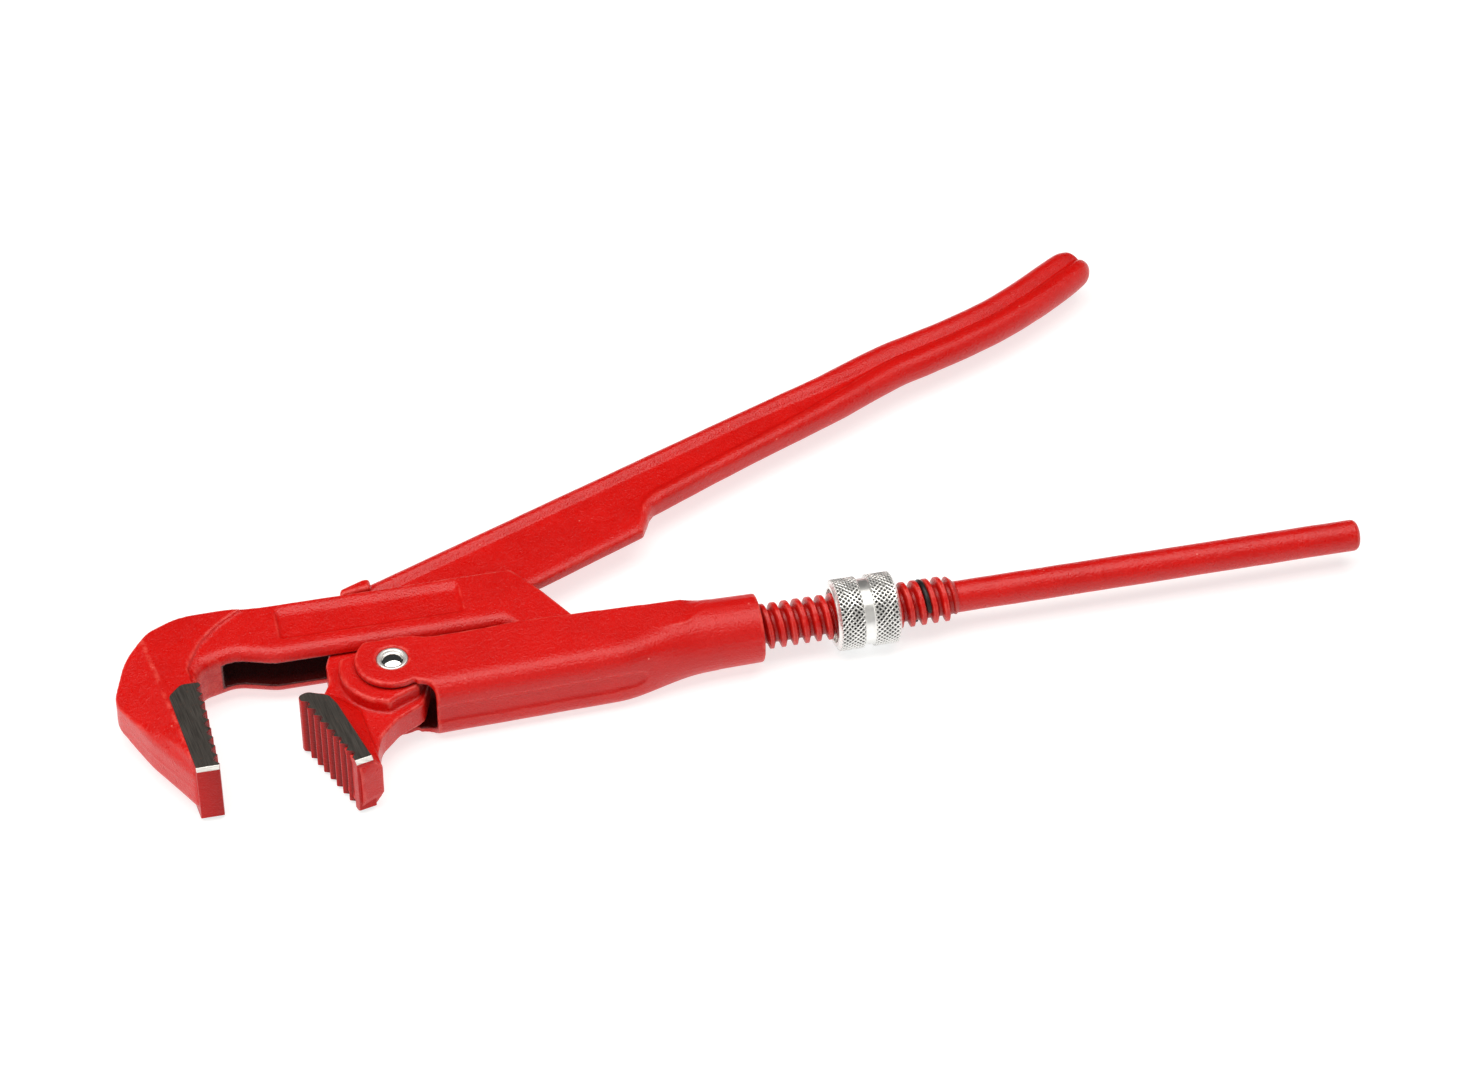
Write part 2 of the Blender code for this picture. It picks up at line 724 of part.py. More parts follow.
# ears: everything left of this outline goes
ear_outline = [(-30.0, 16.0), (-30.0, -20.0), (SLEEVE_MOUTH_X, -20.0), (SLEEVE_MOUTH_X, -13.2)]
ear_outline += arc((5.2, -12.75), 3.5, 0.0, 96.0, 5)
ear_outline += arc((0.0, 0.0), EAR_R, -62.0, -232.0, 16)
ear_outline += [(-2.6, 7.1), (3.4, 7.3), (6.2, 6.9), (9.0, 5.9), (12.0, 5.7), (24.0, 5.8)]
ear_outline += [(34.0, 6.6), (34.0, 16.0)]
boolean(sleeve, prism("cut_ears", ear_outline, 14.0, cutter=True), "DIFFERENCE")

# pressed bead along the bottom
bead_stations = ((-12.0, 1.0), (SLEEVE_MOUTH_X, 1.0), (53.0, 1.0), (58.5, 0.9), (60.6, 0.55), (61.4, 0.1))
bead_rings = []
for x, share in bead_stations:
    half = BEAD_HALF * share
    top = sleeve_half_ring(x, BEAD_DEPTH * min(1.0, 0.4 + share))[0][0]
    ring = [(x, -20.0, -half), (x, -20.0, half), (x, top - 0.15, half)]
    ring += [(x, top, half * 0.8), (x, top, -half * 0.8), (x, top - 0.15, -half)]
    bead_rings.append(ring)
bead = skin("cut_bead", bead_rings, cutter=True)
boolean(sleeve, bead, "DIFFERENCE")
boolean(sleeve, pin_cutter("cut_sleeve_holes"), "DIFFERENCE")

# ---------------------------------------------------------------- pivot pin

pin_rings = []
for radius, z in (
    (0.7, PIN_DISH_DEPTH - PIN_HALF),
    (PIN_DISH_R, -PIN_HALF),
    (PIN_R - 0.15, -PIN_HALF),
    (PIN_R, 0.25 - PIN_HALF),
    (PIN_R, PIN_HALF - 0.25),
    (PIN_R - 0.15, PIN_HALF),
    (PIN_DISH_R, PIN_HALF),
    (0.7, PIN_HALF - PIN_DISH_DEPTH),
):
    pin_rings.append([(x, y, z) for x, y in arc((0.0, 0.0), radius, 0.0, 360.0 * 63 / 64, 63)])
pin = skin("pivot_pin", pin_rings)
pin.data.materials.append(pin_steel)

# ---------------------------------------------------------------- knurled nut

nut_middle = (NUT_X0 + NUT_X1) / 2
nut_steps = 2 * KNURLS
nut_rows = [(NUT_X1 - 0.6, NUT_BORE_R, 0.0), (NUT_X1, NUT_BORE_R + 0.6, 0.0), (NUT_X1, NUT_BODY_R - 0.9, 0.0)]
band_length = 6.2
for band_end in (NUT_X1 - 0.9, nut_middle - 1.4):
    nut_rows.append((band_end + 0.05, NUT_BODY_R - 0.1, 0.0))
    for row in range(KNURL_ROWS + 1):
        nut_rows.append((band_end - band_length * row / KNURL_ROWS, NUT_BODY_R, 0.5 if row % 2 else -0.5))
    nut_rows.append((band_end - band_length - 0.05, NUT_BODY_R - 0.1, 0.0))
nut_rows += [(NUT_X0, NUT_BODY_R - 0.9, 0.0), (NUT_X0, NUT_MOUTH_R, 0.0)]
nut_rows += [(NUT_X0 + 1.6, NUT_MOUTH_R, 0.0), (NUT_X0 + 2.2, NUT_BORE_R, 0.0)]
nut_points = []
nut_faces = []
for x, radius, knurl in nut_rows:
    for k in range(nut_steps):
        angle = 2 * math.pi * k / nut_steps
        lift = (NUT_R - NUT_BODY_R) * abs(knurl) * 2 * (1.0 if (k % 2 == 0) == (knurl > 0) else 0.0)
        r = radius + (lift if knurl else 0.0)
        nut_points.append((x, r * math.cos(angle), r * math.sin(angle)))
for row in range(len(nut_rows)):
    a = row * nut_steps
    b = ((row + 1) % len(nut_rows)) * nut_steps
    for k in range(nut_steps):
        n = (k + 1) % nut_steps
        nut_faces.append((a + k, b + k, b + n, a + n))
nut = add("adjusting_nut", nut_points, nut_faces, (nut_middle, 0.0, 0.0))
nut.data.materials.append(nut_chrome)

# ---------------------------------------------------------------- stop ring

groove = THREAD_START_X + 0.375
ring_x = groove + THREAD_PITCH * RING_TURNS
ring_rings = []
for k in range(23):
    turn = -0.43 + 0.90 * k / 22
    angle = 2 * math.pi * turn
    x = ring_x + THREAD_PITCH * turn
    ring = []
    for j in range(8):
        around = 2 * math.pi * j / 8
        r = RING_CENTRE_R + RING_WIRE_R * math.cos(around)
        ring.append((x + RING_WIRE_R * math.sin(around), r * math.cos(angle), r * math.sin(angle)))
    ring_rings.append(ring)
stop_ring = skin("stop_ring", ring_rings, (ring_x, 0.0, 0.0))
stop_ring.data.materials.append(ring_black)

for piece in (pin, nut, stop_ring):
    smooth(piece)

# ---------------------------------------------------------------- bottom centre of the box to the origin

bpy.context.view_layer.update()
graph = bpy.context.evaluated_depsgraph_get()
corners = []
for piece in (hook, handle, sleeve, pin, nut, stop_ring):
    ready = piece.evaluated_get(graph)
    corners += [ready.matrix_world @ vertex.co for vertex in ready.data.vertices]
lowest = Vector(min(c[i] for c in corners) for i in range(3))
highest = Vector(max(c[i] for c in corners) for i in range(3))
frame.location = (-(lowest.x + highest.x) / 2, -(lowest.y + highest.y) / 2, -lowest.z)
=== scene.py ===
"""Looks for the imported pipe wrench: red hook and lever, pressed sleeve, knurled nut, pin and stop ring.

Shapes are built in millimetres about the pivot pin's centre, with X along the rod and Y towards the lever,
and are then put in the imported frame.
"""

import json
import math

import bmesh
import bpy
import numpy as np
from mathutils import Matrix, Vector, noise


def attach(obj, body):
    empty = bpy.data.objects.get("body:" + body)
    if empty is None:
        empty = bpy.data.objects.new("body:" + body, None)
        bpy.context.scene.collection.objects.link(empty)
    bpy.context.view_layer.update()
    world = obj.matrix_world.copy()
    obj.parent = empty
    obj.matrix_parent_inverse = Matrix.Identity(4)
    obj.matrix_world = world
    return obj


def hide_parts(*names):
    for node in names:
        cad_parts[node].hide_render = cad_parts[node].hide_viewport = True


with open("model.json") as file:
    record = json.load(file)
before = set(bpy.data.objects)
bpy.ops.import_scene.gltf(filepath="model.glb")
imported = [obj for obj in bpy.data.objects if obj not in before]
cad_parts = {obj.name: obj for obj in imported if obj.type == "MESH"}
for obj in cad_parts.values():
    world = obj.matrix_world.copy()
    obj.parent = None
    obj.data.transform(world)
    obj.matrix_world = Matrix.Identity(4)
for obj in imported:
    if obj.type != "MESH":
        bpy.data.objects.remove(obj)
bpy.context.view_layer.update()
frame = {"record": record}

MM = 0.001
JOINTS = {joint["name"]: joint for joint in frame["record"]["behaviour"]["joints"]}
PIN = Vector(JOINTS["handle_squeeze"]["pos_m"])
TO_FRAME = Matrix.Translation(PIN) @ Matrix.Scale(MM, 4)

# millimetres from here on
VOXEL = 0.36
TOOTH_DEPTH = 1.25
PIN_HOLE_R = 3.92
CUTTER_HALF = 14.0

# half thicknesses across Z: the forgings' flat sides, the hook's head, its slot, the lever's plate and web
FACE = 6.95
HEAD = 8.4
SLOT = 3.6
PLATE = 3.3
WEB = 2.1
BAR_HALF = 8.46

# the screw: thread start, pitch, root and crest radius, the plain rod's radius and end
THREAD_X = 66.6
PITCH = 3.0
ROOT_R = 4.2
CREST_R = 5.75
ROD_R = 4.0
ROD_END = 248.2

# ---------------------------------------------------------------- outlines


def rounded(corners, steps=10):
    """An outline from corners (x, y) or (x, y, radius), each radius drawn as an arc."""
    outline = []
    count = len(corners)
    for i, corner in enumerate(corners):
        here = Vector(corner[:2])
        if len(corner) < 3:
            outline.append(tuple(here))
            continue
        back = (Vector(corners[i - 1][:2]) - here).normalized()
        on = (Vector(corners[(i + 1) % count][:2]) - here).normalized()
        half = back.angle(on) / 2
        reach = corner[2] / math.tan(half)
        centre = here + (back + on).normalized() * (corner[2] / math.sin(half))
        start = here + back * reach - centre
        turn = math.pi - 2 * half
        if back.x * on.y - back.y * on.x > 0:
            turn = -turn
        for k in range(steps + 1):
            outline.append(tuple(centre + Matrix.Rotation(turn * k / steps, 2) @ start))
    return outline


def arc(centre, radius, start_deg, end_deg, steps):
    """Points along an arc, ends included."""
    found = []
    for k in range(steps + 1):
        angle = math.radians(start_deg + (end_deg - start_deg) * k / steps)
        found.append((centre[0] + radius * math.cos(angle), centre[1] + radius * math.sin(angle)))
    return found


def without_zero(corner):
    """The corner, less a radius of 0."""
    return corner if corner[2] else corner[:2]


def inset(outline, distance):
    """The outline moved inwards; it runs anticlockwise."""
    moved = []
    for i, point in enumerate(outline):
        here = Vector(point)
        first = here - Vector(outline[i - 1])
        second = Vector(outline[(i + 1) % len(outline)]) - here
        n1 = Vector((first.y, -first.x)).normalized()
        n2 = Vector((second.y, -second.x)).normalized()
        moved.append(tuple(here - (n1 + n2) * (distance / (1 + n1.dot(n2)))))
    return moved


def anticlockwise(outline):
    area = sum(a[0] * b[1] - a[1] * b[0] for a, b in zip(outline, outline[1:] + outline[:1]))
    return outline if area > 0 else list(reversed(outline))


# ---------------------------------------------------------------- solids


def solid(name, points, faces):
    """A mesh object facing out, in millimetres."""
    mesh = bpy.data.meshes.new(name)
    mesh.from_pydata([tuple(p) for p in points], [], faces)
    build = bmesh.new()
    build.from_mesh(mesh)
    bmesh.ops.recalc_face_normals(build, faces=build.faces)
    build.to_mesh(mesh)
    build.free()
    obj = bpy.data.objects.new(name, mesh)
    bpy.context.scene.collection.objects.link(obj)
    return obj


def skin(name, rings):
    """A closed solid through rings of equal point count, with flat ends."""
    size = len(rings[0])
    points = [p for ring in rings for p in ring]
    faces = [tuple(reversed(range(size)))]
    for level in range(len(rings) - 1):
        low = level * size
        for i in range(size):
            j = (i + 1) % size
            faces.append((low + i, low + j, low + size + j, low + size + i))
    faces.append(tuple(range(len(points) - size, len(points))))
    return solid(name, points, faces)


def prism(name, outline, half, chamfer=0.0):
    """An outline given thickness about Z = 0, its long edges chamfered."""
    outline = anticlockwise(outline)
    levels = ((outline, -half), (outline, half))
    if chamfer:
        small = inset(outline, chamfer)
        levels = ((small, -half), (outline, chamfer - half), (outline, half - chamfer), (small, half))
    return skin(name, [[(x, y, z) for x, y in shape] for shape, z in levels])


def rounded_slab(name, corners, half, low, draft=0.0):
    """A thick outline with rounded long edges: each corner leans in by its own slope from low to half.

    The draft is the part of that slope already taken between the parting line and low.
    """
    shapes = [(rounded([without_zero(corner[:3]) for corner in corners]), 0.02)] if draft else []
    for degrees in (0.0, 22.0, 42.0, 60.0, 76.0, 90.0):
        share = draft + (1.0 - draft) * (1.0 - math.cos(math.radians(degrees)))
        z = low + (half - low) * math.sin(math.radians(degrees))
        moved = [without_zero((x + dx * share, y + dy * share, r)) for x, y, r, (dx, dy) in corners]
        shapes.append((rounded(moved), z))
    levels = [(shape, -z) for shape, z in reversed(shapes)] + shapes
    return skin(name, [[(x, y, z) for x, y in shape] for shape, z in levels])


def lathe(name, profile, steps):
    """(x, radius) points turned about X; radius 0 only at its ends."""
    points = []
    rows = []
    faces = []
    for x, radius in profile:
        if radius == 0.0:
            rows.append([len(points)] * steps)
            points.append((x, 0.0, 0.0))
            continue
        rows.append(list(range(len(points), len(points) + steps)))
        for k in range(steps):
            angle = 2 * math.pi * k / steps
            points.append((x, radius * math.cos(angle), radius * math.sin(angle)))
    for a, b in zip(rows, rows[1:]):
        for k in range(steps):
            n = (k + 1) % steps
            faces.append(tuple(dict.fromkeys((a[k], b[k], b[n], a[n]))))
    return solid(name, points, faces)


def pin_bore(name):
    """A round cutter on the pivot pin's axis."""
    return prism(name, arc((0.0, 0.0), PIN_HOLE_R, 0.0, 360.0 * 63 / 64, 63), CUTTER_HALF)


def baked(obj):
    """Applies the object's modifiers."""
    bpy.context.view_layer.update()
    ready = obj.evaluated_get(bpy.context.evaluated_depsgraph_get())
    mesh = bpy.data.meshes.new_from_object(ready)
    obj.modifiers.clear()
    obj.data = mesh
    return obj


def remove(*objects):
    for obj in objects:
        bpy.data.objects.remove(obj, do_unlink=True)


def combine(target, tools, operation):
    """One or more exact Booleans on target; the tools go."""
    for tool in tools:
        step = target.modifiers.new(tool.name, "BOOLEAN")
        step.object = tool
        step.operation = operation
        step.solver = "EXACT"
        baked(target)
    remove(*tools)
    return target


def forged(name, parts, voxel=VOXEL, passes=3):
    """Overlapping solids made one body with softened edges, as a die leaves them."""
    points = []
    faces = []
    for part in parts:
        first = len(points)
        points += [tuple(v.co) for v in part.data.vertices]
        faces += [tuple(first + i for i in p.vertices) for p in part.data.polygons]
    remove(*parts)
    mesh = bpy.data.meshes.new(name)
    mesh.from_pydata(points, [], faces)
    obj = bpy.data.objects.new(name, mesh)
    bpy.context.scene.collection.objects.link(obj)
    join = obj.modifiers.new("join", "REMESH")
    join.mode = "VOXEL"
    join.voxel_size = voxel
    soften = obj.modifiers.new("soften", "SMOOTH")
    soften.factor = 0.5
    soften.iterations = passes
    return baked(obj)


def shade(obj, share_at):
    """Stores painted shade at each vertex as the attribute shade, from 0 to 1."""
    layer = obj.data.attributes.new("shade", "FLOAT", "POINT")
    layer.data.foreach_set("value", [share_at(*v.co) for v in obj.data.vertices])


def clamp(value):
    return min(max(value, 0.0), 1.0)


def points_of(obj):
    found = np.empty(len(obj.data.vertices) * 3)
    obj.data.vertices.foreach_get("co", found)
    return found.reshape(-1, 3)


def uneven(obj, amount, wavelength):
    """Slow unevenness along the normals, in millimetres."""
    points = points_of(obj)
    normals = np.empty(len(points) * 3)
    obj.data.vertices.foreach_get("normal", normals)
    lift = np.array([noise.noise(Vector(p) / wavelength) for p in points])
    points += normals.reshape(-1, 3) * lift[:, None] * amount
    obj.data.vertices.foreach_set("co", points.ravel())
    obj.data.update()


def mark_edges(obj):
    """Stores how convex each vertex is as the attribute edge, from 0 to 1."""
    mesh = obj.data
    points = points_of(obj)
    normals = np.empty(len(points) * 3)
    mesh.vertices.foreach_get("normal", normals)
    normals = normals.reshape(-1, 3)
    ends = np.empty(len(mesh.edges) * 2, np.int64)
    mesh.edges.foreach_get("vertices", ends)
    a, b = ends.reshape(-1, 2).T
    along = points[b] - points[a]
    along /= np.maximum(np.linalg.norm(along, axis=1), 1e-9)[:, None]
    count = np.bincount(a, minlength=len(points)) + np.bincount(b, minlength=len(points))
    value = np.bincount(a, -(normals[a] * along).sum(1), len(points)).astype(float)
    value += np.bincount(b, (normals[b] * along).sum(1), len(points))
    value /= np.maximum(count, 1)
    for _ in range(3):
        spread = np.bincount(a, value[b], len(points)) + np.bincount(b, value[a], len(points))
        value = 0.5 * value + 0.5 * spread / np.maximum(count, 1)
    layer = mesh.attributes.new("edge", "FLOAT", "POINT")
    layer.data.foreach_set("value", np.clip(value * 9.0, -1.0, 1.0).astype(np.float32))


# ---------------------------------------------------------------- materials


class Nodes:
    """Short names for building one material's nodes."""

    def __init__(self, name):
        self.material = bpy.data.materials.new(name)
        self.material.use_nodes = True
        self.tree = self.material.node_tree
        self.shader = self.tree.nodes["Principled BSDF"]
        self.place = self.add("ShaderNodeTexCoord").outputs["Object"]

    def add(self, kind, inputs=None, **settings):
        node = self.tree.nodes.new(kind)
        for key, value in settings.items():
            setattr(node, key, value)
        for key, value in (inputs or {}).items():
            if isinstance(value, bpy.types.NodeSocket):
                self.tree.links.new(value, node.inputs[key])
            else:
                node.inputs[key].default_value = value
        return node

    def noise(self, scale, detail=2.0, rough=0.5, place=None):
        inputs = {"Vector": place or self.place, "Scale": scale, "Detail": detail, "Roughness": rough}
        return self.add("ShaderNodeTexNoise", inputs).outputs["Fac"]

    def stretched(self, scale, turn=0.0):
        inputs = {"Vector": self.place, "Scale": scale, "Rotation": (0.0, 0.0, turn)}
        return self.add("ShaderNodeMapping", inputs, vector_type="TEXTURE").outputs["Vector"]

    def remap(self, value, low, high, to_low, to_high):
        inputs = {"Value": value, "From Min": low, "From Max": high, "To Min": to_low, "To Max": to_high}
        return self.add("ShaderNodeMapRange", inputs).outputs["Result"]

    def maths(self, operation, a, b):
        return self.add("ShaderNodeMath", {0: a, 1: b}, operation=operation).outputs["Value"]

    def mixed(self, share, a, b):
        node = self.tree.nodes.new("ShaderNodeMix")
        node.data_type = "RGBA"
        for index, value in ((0, share), (6, a), (7, b)):
            if isinstance(value, bpy.types.NodeSocket):
                self.tree.links.new(value, node.inputs[index])
            else:
                node.inputs[index].default_value = value
        return node.outputs[2]

    def bump(self, height, strength, distance, normal=None):
        inputs = {"Height": height, "Strength": strength, "Distance": distance}
        if normal:
            inputs["Normal"] = normal
        return self.add("ShaderNodeBump", inputs).outputs["Normal"]

    def link(self, socket, value):
        if isinstance(value, bpy.types.NodeSocket):
            self.tree.links.new(value, self.shader.inputs[socket])
        else:
            self.shader.inputs[socket].default_value = value


def red_paint(name, base, deep, worn, rough, level, marked=True):
    """Satin red paint: faint mottling, orange peel, dust specks; a little thinner and paler on convex
    edges, partly wear and partly a painted highlight; painted shade where the attribute shade is high.
    """
    n = Nodes(name)
    mottle = n.remap(n.noise(90.0, 4.0, 0.6), 0.3, 0.7, 0.0, 1.0)
    colour = n.mixed(mottle, (*deep, 1.0), (*base, 1.0))
    grain = n.remap(n.noise(2600.0, 2.0, 0.6), 0.35, 0.65, 0.0, 0.15)
    colour = n.mixed(grain, colour, (*worn, 1.0))
    cells = n.add("ShaderNodeTexVoronoi", {"Vector": n.place, "Scale": 260.0, "Randomness": 1.0})
    near = n.remap(cells.outputs["Distance"], 0.03, 0.075, 1.0, 0.0)
    some = n.remap(n.noise(170.0, 1.0), 0.52, 0.57, 0.0, 0.58)
    colour = n.mixed(n.maths("MULTIPLY", near, some), colour, (0.9, 0.30, 0.24, 1.0))
    if marked:
        # convex edges go paler, partly rubbed paint and partly a painted highlight; the rare dark chips are
        # wear
        edge = n.add("ShaderNodeAttribute", attribute_name="edge").outputs["Fac"]
        patch = n.remap(n.noise(420.0, 3.0, 0.7), 0.4, 0.62, 0.0, 1.0)
        rub_and_highlight = n.maths("MULTIPLY", n.remap(edge, 0.2, 0.75, 0.0, 0.42), patch)
        colour = n.mixed(rub_and_highlight, colour, (0.85, 0.12, 0.09, 1.0))
        rare = n.remap(n.noise(240.0, 2.0, 0.6), 0.70, 0.73, 0.0, 1.0)
        chip = n.maths("MULTIPLY", n.remap(edge, 0.4, 0.6, 0.0, 0.15), rare)
        colour = n.mixed(chip, colour, (0.09, 0.03, 0.025, 1.0))
    # painted shade: the paint goes to near-black red where the attribute shade is high
    dark = n.add("ShaderNodeAttribute", attribute_name="shade").outputs["Fac"]
    colour = n.mixed(dark, colour, (0.024, 0.0006, 0.0003, 1.0))
    n.link("Base Color", colour)
    n.link("Roughness", n.remap(n.noise(500.0, 3.0, 0.6), 0.3, 0.7, rough, rough + 0.1))
    n.shader.inputs["Specular IOR Level"].default_value = level
    peel = n.bump(n.noise(900.0, 3.0, 0.6), 0.8, 0.00014)
    n.link("Normal", n.bump(n.noise(2200.0, 2.0, 0.5), 0.8, 0.00019, peel))
    return n.material


def ground_steel():
    """Dark steel with fine grinding lines along the jaw."""
    n = Nodes("ground_dark_steel")
    lines = n.noise(1.0, 3.0, 0.6, n.stretched((0.00016, 0.006, 0.01), math.radians(8.0)))
    tone = n.remap(lines, 0.3, 0.7, 0.0, 1.0)
    colour = n.mixed(tone, (0.030, 0.026, 0.023, 1.0), (0.085, 0.075, 0.066, 1.0))
    spots = n.remap(n.noise(900.0, 3.0, 0.7), 0.6, 0.75, 0.0, 0.5)
    n.link("Base Color", n.mixed(spots, colour, (0.14, 0.06, 0.04, 1.0)))
    n.link("Metallic", 0.55)
    n.link("Roughness", n.remap(lines, 0.3, 0.7, 0.38, 0.58))
    n.link("Normal", n.bump(lines, 0.5, 0.00003))
    return n.material


def bright_steel():
    """Freshly ground chamfer."""
    n = Nodes("ground_bright_chamfer")
    lines = n.noise(1.0, 2.0, 0.5, n.stretched((0.004, 0.0002, 0.004)))
    tone = n.remap(lines, 0.3, 0.7, 0.0, 1.0)
    n.link("Base Color", n.mixed(tone, (0.72, 0.7, 0.66, 1.0), (0.9, 0.89, 0.86, 1.0)))
    n.link("Metallic", 0.7)
    n.link("Roughness", n.remap(lines, 0.3, 0.7, 0.35, 0.5))
    n.link("Normal", n.bump(lines, 0.3, 0.00002))
    return n.material


def plated(name, colour, metallic, rough_low, rough_high):
    """Bright plating, a little cloudy, with painted shade where the attribute shade is high."""
    n = Nodes(name)
    cloud = n.remap(n.noise(400.0, 3.0, 0.6), 0.3, 0.7, 0.0, 1.0)
    unshaded = n.mixed(cloud, (*(c * 0.9 for c in colour), 1.0), (*colour, 1.0))
    dark = n.add("ShaderNodeAttribute", attribute_name="shade").outputs["Fac"]
    n.link("Base Color", n.mixed(dark, unshaded, (0.02, 0.019, 0.018, 1.0)))
    n.link("Metallic", metallic)
    n.link("Roughness", n.remap(n.noise(1500.0, 2.0, 0.6), 0.3, 0.7, rough_low, rough_high))
    n.link("Normal", n.bump(n.noise(2200.0, 2.0, 0.5), 0.2, 0.00001))
    return n.material


def black_oxide():
    """Blackened spring wire."""
    n = Nodes("black_oxide_wire")
    tone = n.remap(n.noise(700.0, 3.0, 0.6), 0.3, 0.7, 0.0, 1.0)
    n.link("Base Color", n.mixed(tone, (0.010, 0.010, 0.011, 1.0), (0.030, 0.029, 0.028, 1.0)))
    n.link("Metallic", 0.5)
    n.link("Roughness", n.remap(n.noise(1200.0, 2.0), 0.3, 0.7, 0.3, 0.45))
    n.link("Normal", n.bump(n.noise(2500.0, 2.0), 0.4, 0.00002))
    return n.material


def floor_white():
    """Pale matt floor that glows a little, so that it prints white."""
    n = Nodes("studio_floor")
    shade = n.remap(n.noise(6.0, 2.0), 0.3, 0.7, 0.0, 1.0)
    n.link("Base Color", n.mixed(shade, (0.43, 0.43, 0.43, 1.0), (0.46, 0.46, 0.46, 1.0)))
    n.link("Roughness", 0.9)
    n.shader.inputs["Specular IOR Level"].default_value = 0.1
    n.shader.inputs["Emission Color"].default_value = (1.0, 1.0, 1.0, 1.0)
    n.shader.inputs["Emission Strength"].default_value = 0.7
    return n.material


FORGED_RED = red_paint(
    "satin_red_forged", (0.61, 0.0018, 0.0008), (0.53, 0.0010, 0.0004), (0.74, 0.03, 0.015), 0.26, 0.42
)
SLEEVE_RED = red_paint(
    "satin_red_pressed", (0.61, 0.0018, 0.0008), (0.54, 0.0010, 0.0004), (0.74, 0.03, 0.015), 0.29, 0.40
)
# darker than the other reds: painted shade for the steep tooth flanks
SHADED_CUT_RED = red_paint(
    "satin_red_cut", (0.54, 0.0018, 0.0008), (0.44, 0.0010, 0.0004), (0.64, 0.02, 0.01), 0.3, 0.22, False
)
GROUND = ground_steel()
CHAMFER = bright_steel()
CHROME = plated("satin_chrome", (0.92, 0.92, 0.90), 0.88, 0.28, 0.36)
POLISHED = plated("polished_rivet", (0.90, 0.89, 0.87), 1.0, 0.06, 0.12)
RIVET_RIM = plated("rivet_rim", (0.80, 0.78, 0.76), 0.75, 0.38, 0.46)
BLACK = black_oxide()


def placed(obj, body, nodes, materials, smooth=True):
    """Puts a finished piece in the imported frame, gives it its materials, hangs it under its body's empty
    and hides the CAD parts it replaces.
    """
    obj.data.transform(TO_FRAME)
    obj.data.materials.clear()
    for material in materials:
        obj.data.materials.append(material)
    if smooth:
        obj.data.polygons.foreach_set("use_smooth", [True] * len(obj.data.polygons))
    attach(obj, body)
    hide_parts(*nodes)
    return obj


# ---------------------------------------------------------------- hook forging

# corners: x, y, radius, inward slope of the flat side (right and up)
HOOK_CORNERS = (
    (-48.4, -26.9, 0.0, (-0.7, 0.7)),
    (-48.4, 3.4, 0.0, (-0.6, 0.7)),
    (-47.0, 5.2, 1.2, (-1.3, 1.2)),
    (-47.2, 7.8, 2.0, (-1.9, 1.8)),
    (-44.7, 10.5, 4.0, (-1.8, 2.8)),
    (-37.0, 12.6, 8.0, (-0.6, 3.3)),
    (-27.5, 9.5, 10.0, (0.0, 3.3)),
    (30.0, 9.5, 2.5, (0.4, 3.3)),
    (33.0, 6.0, 1.5, (0.8, 0.8)),
    (33.0, -7.5, 0.0, (0.7, 0.7)),
    (38.5, -7.5, 2.0, (0.0, 0.7)),
    (46.0, -2.5, 2.0, (-0.7, 0.2)),
    (47.6, 6.0, 1.8, (-0.7, 0.0)),
    (41.0, 18.0, 14.0, (-0.7, -0.2)),
    (34.5, 27.8, 1.8, (-0.4, -0.7)),
    (-29.0, 27.8, 10.0, (0.0, -0.7)),
    (-37.5, 28.5, 10.0, (0.0, -0.6)),
    (-49.5, 27.9, 16.0, (0.2, -0.7)),
    (-57.5, 24.2, 9.0, (0.4, -0.4)),
    (-63.9, 16.2, 20.0, (0.5, -0.3)),
    (-68.1, 4.6, 8.5, (1.6, 0.2)),
    (-60.8, -11.6, 30.0, (4.4, 2.4)),
    (-52.4, -26.0, 2.5, (2.2, 1.2)),
    (-50.2, -26.9, 0.0, (0.0, 0.7)),
)
BEVEL_Z = 4.2


def tilted(obj):
    """Thins the head slightly from the jaw's tip up to the shank."""
    for vertex in obj.data.vertices:
        vertex.co.z *= 1.0 - 0.0016 * (vertex.co.y + 27.0)
    return obj


def facet(name, side):
    """A cutter that slopes the outer half of the hook's flat side down towards its back."""
    top = side * HEAD
    rise = side * 12.0
    ridge_high = Vector((-61.0, 31.0, top - side * 0.6))
    ridge_low = Vector((-51.2, -31.0, top))
    drop = Vector((-14.0, -2.2, -side * 5.7))
    base = [ridge_high, ridge_high + drop, ridge_low + drop, ridge_low]
    lifted = [p + Vector((0.0, 0.0, rise)) for p in base]
    return skin(name, [[tuple(p) for p in ring] for ring in (base, lifted)])


def slot_cutter():
    corners = [(-40.2, -2.0), (29.0, -2.0), (31.0, 0.5), (35.0, 4.5), (46.0, 4.5), (50.0, 8.0), (60.0, 8.0)]
    return prism("slot", corners + [(60.0, 40.0), (-40.2, 40.0)], SLOT)


def panel_cutter(side):
    """A shallow panel in a cheek, its upper wall a wide slope."""
    floor = rounded([(-24.9, 15.4, 0.7), (19.9, 15.4, 0.7), (19.9, 23.6, 0.7), (-24.9, 23.6, 0.7)], 4)
    face = rounded([(-25.5, 14.7, 1.0), (20.5, 14.7, 1.0), (20.5, 26.1, 1.0), (-25.5, 26.1, 1.0)], 4)
    rim = [(x + (x - fx) * 2, y + (y - fy) * 2) for (x, y), (fx, fy) in zip(face, floor)]
    levels = sorted(((side * (FACE - 0.75), 0), (side * FACE, 1), (side * (FACE + 1.5), 2)))
    shapes = (floor, face, rim)
    return skin("panel", [[(x, y, z) for x, y in shapes[i]] for z, i in levels])


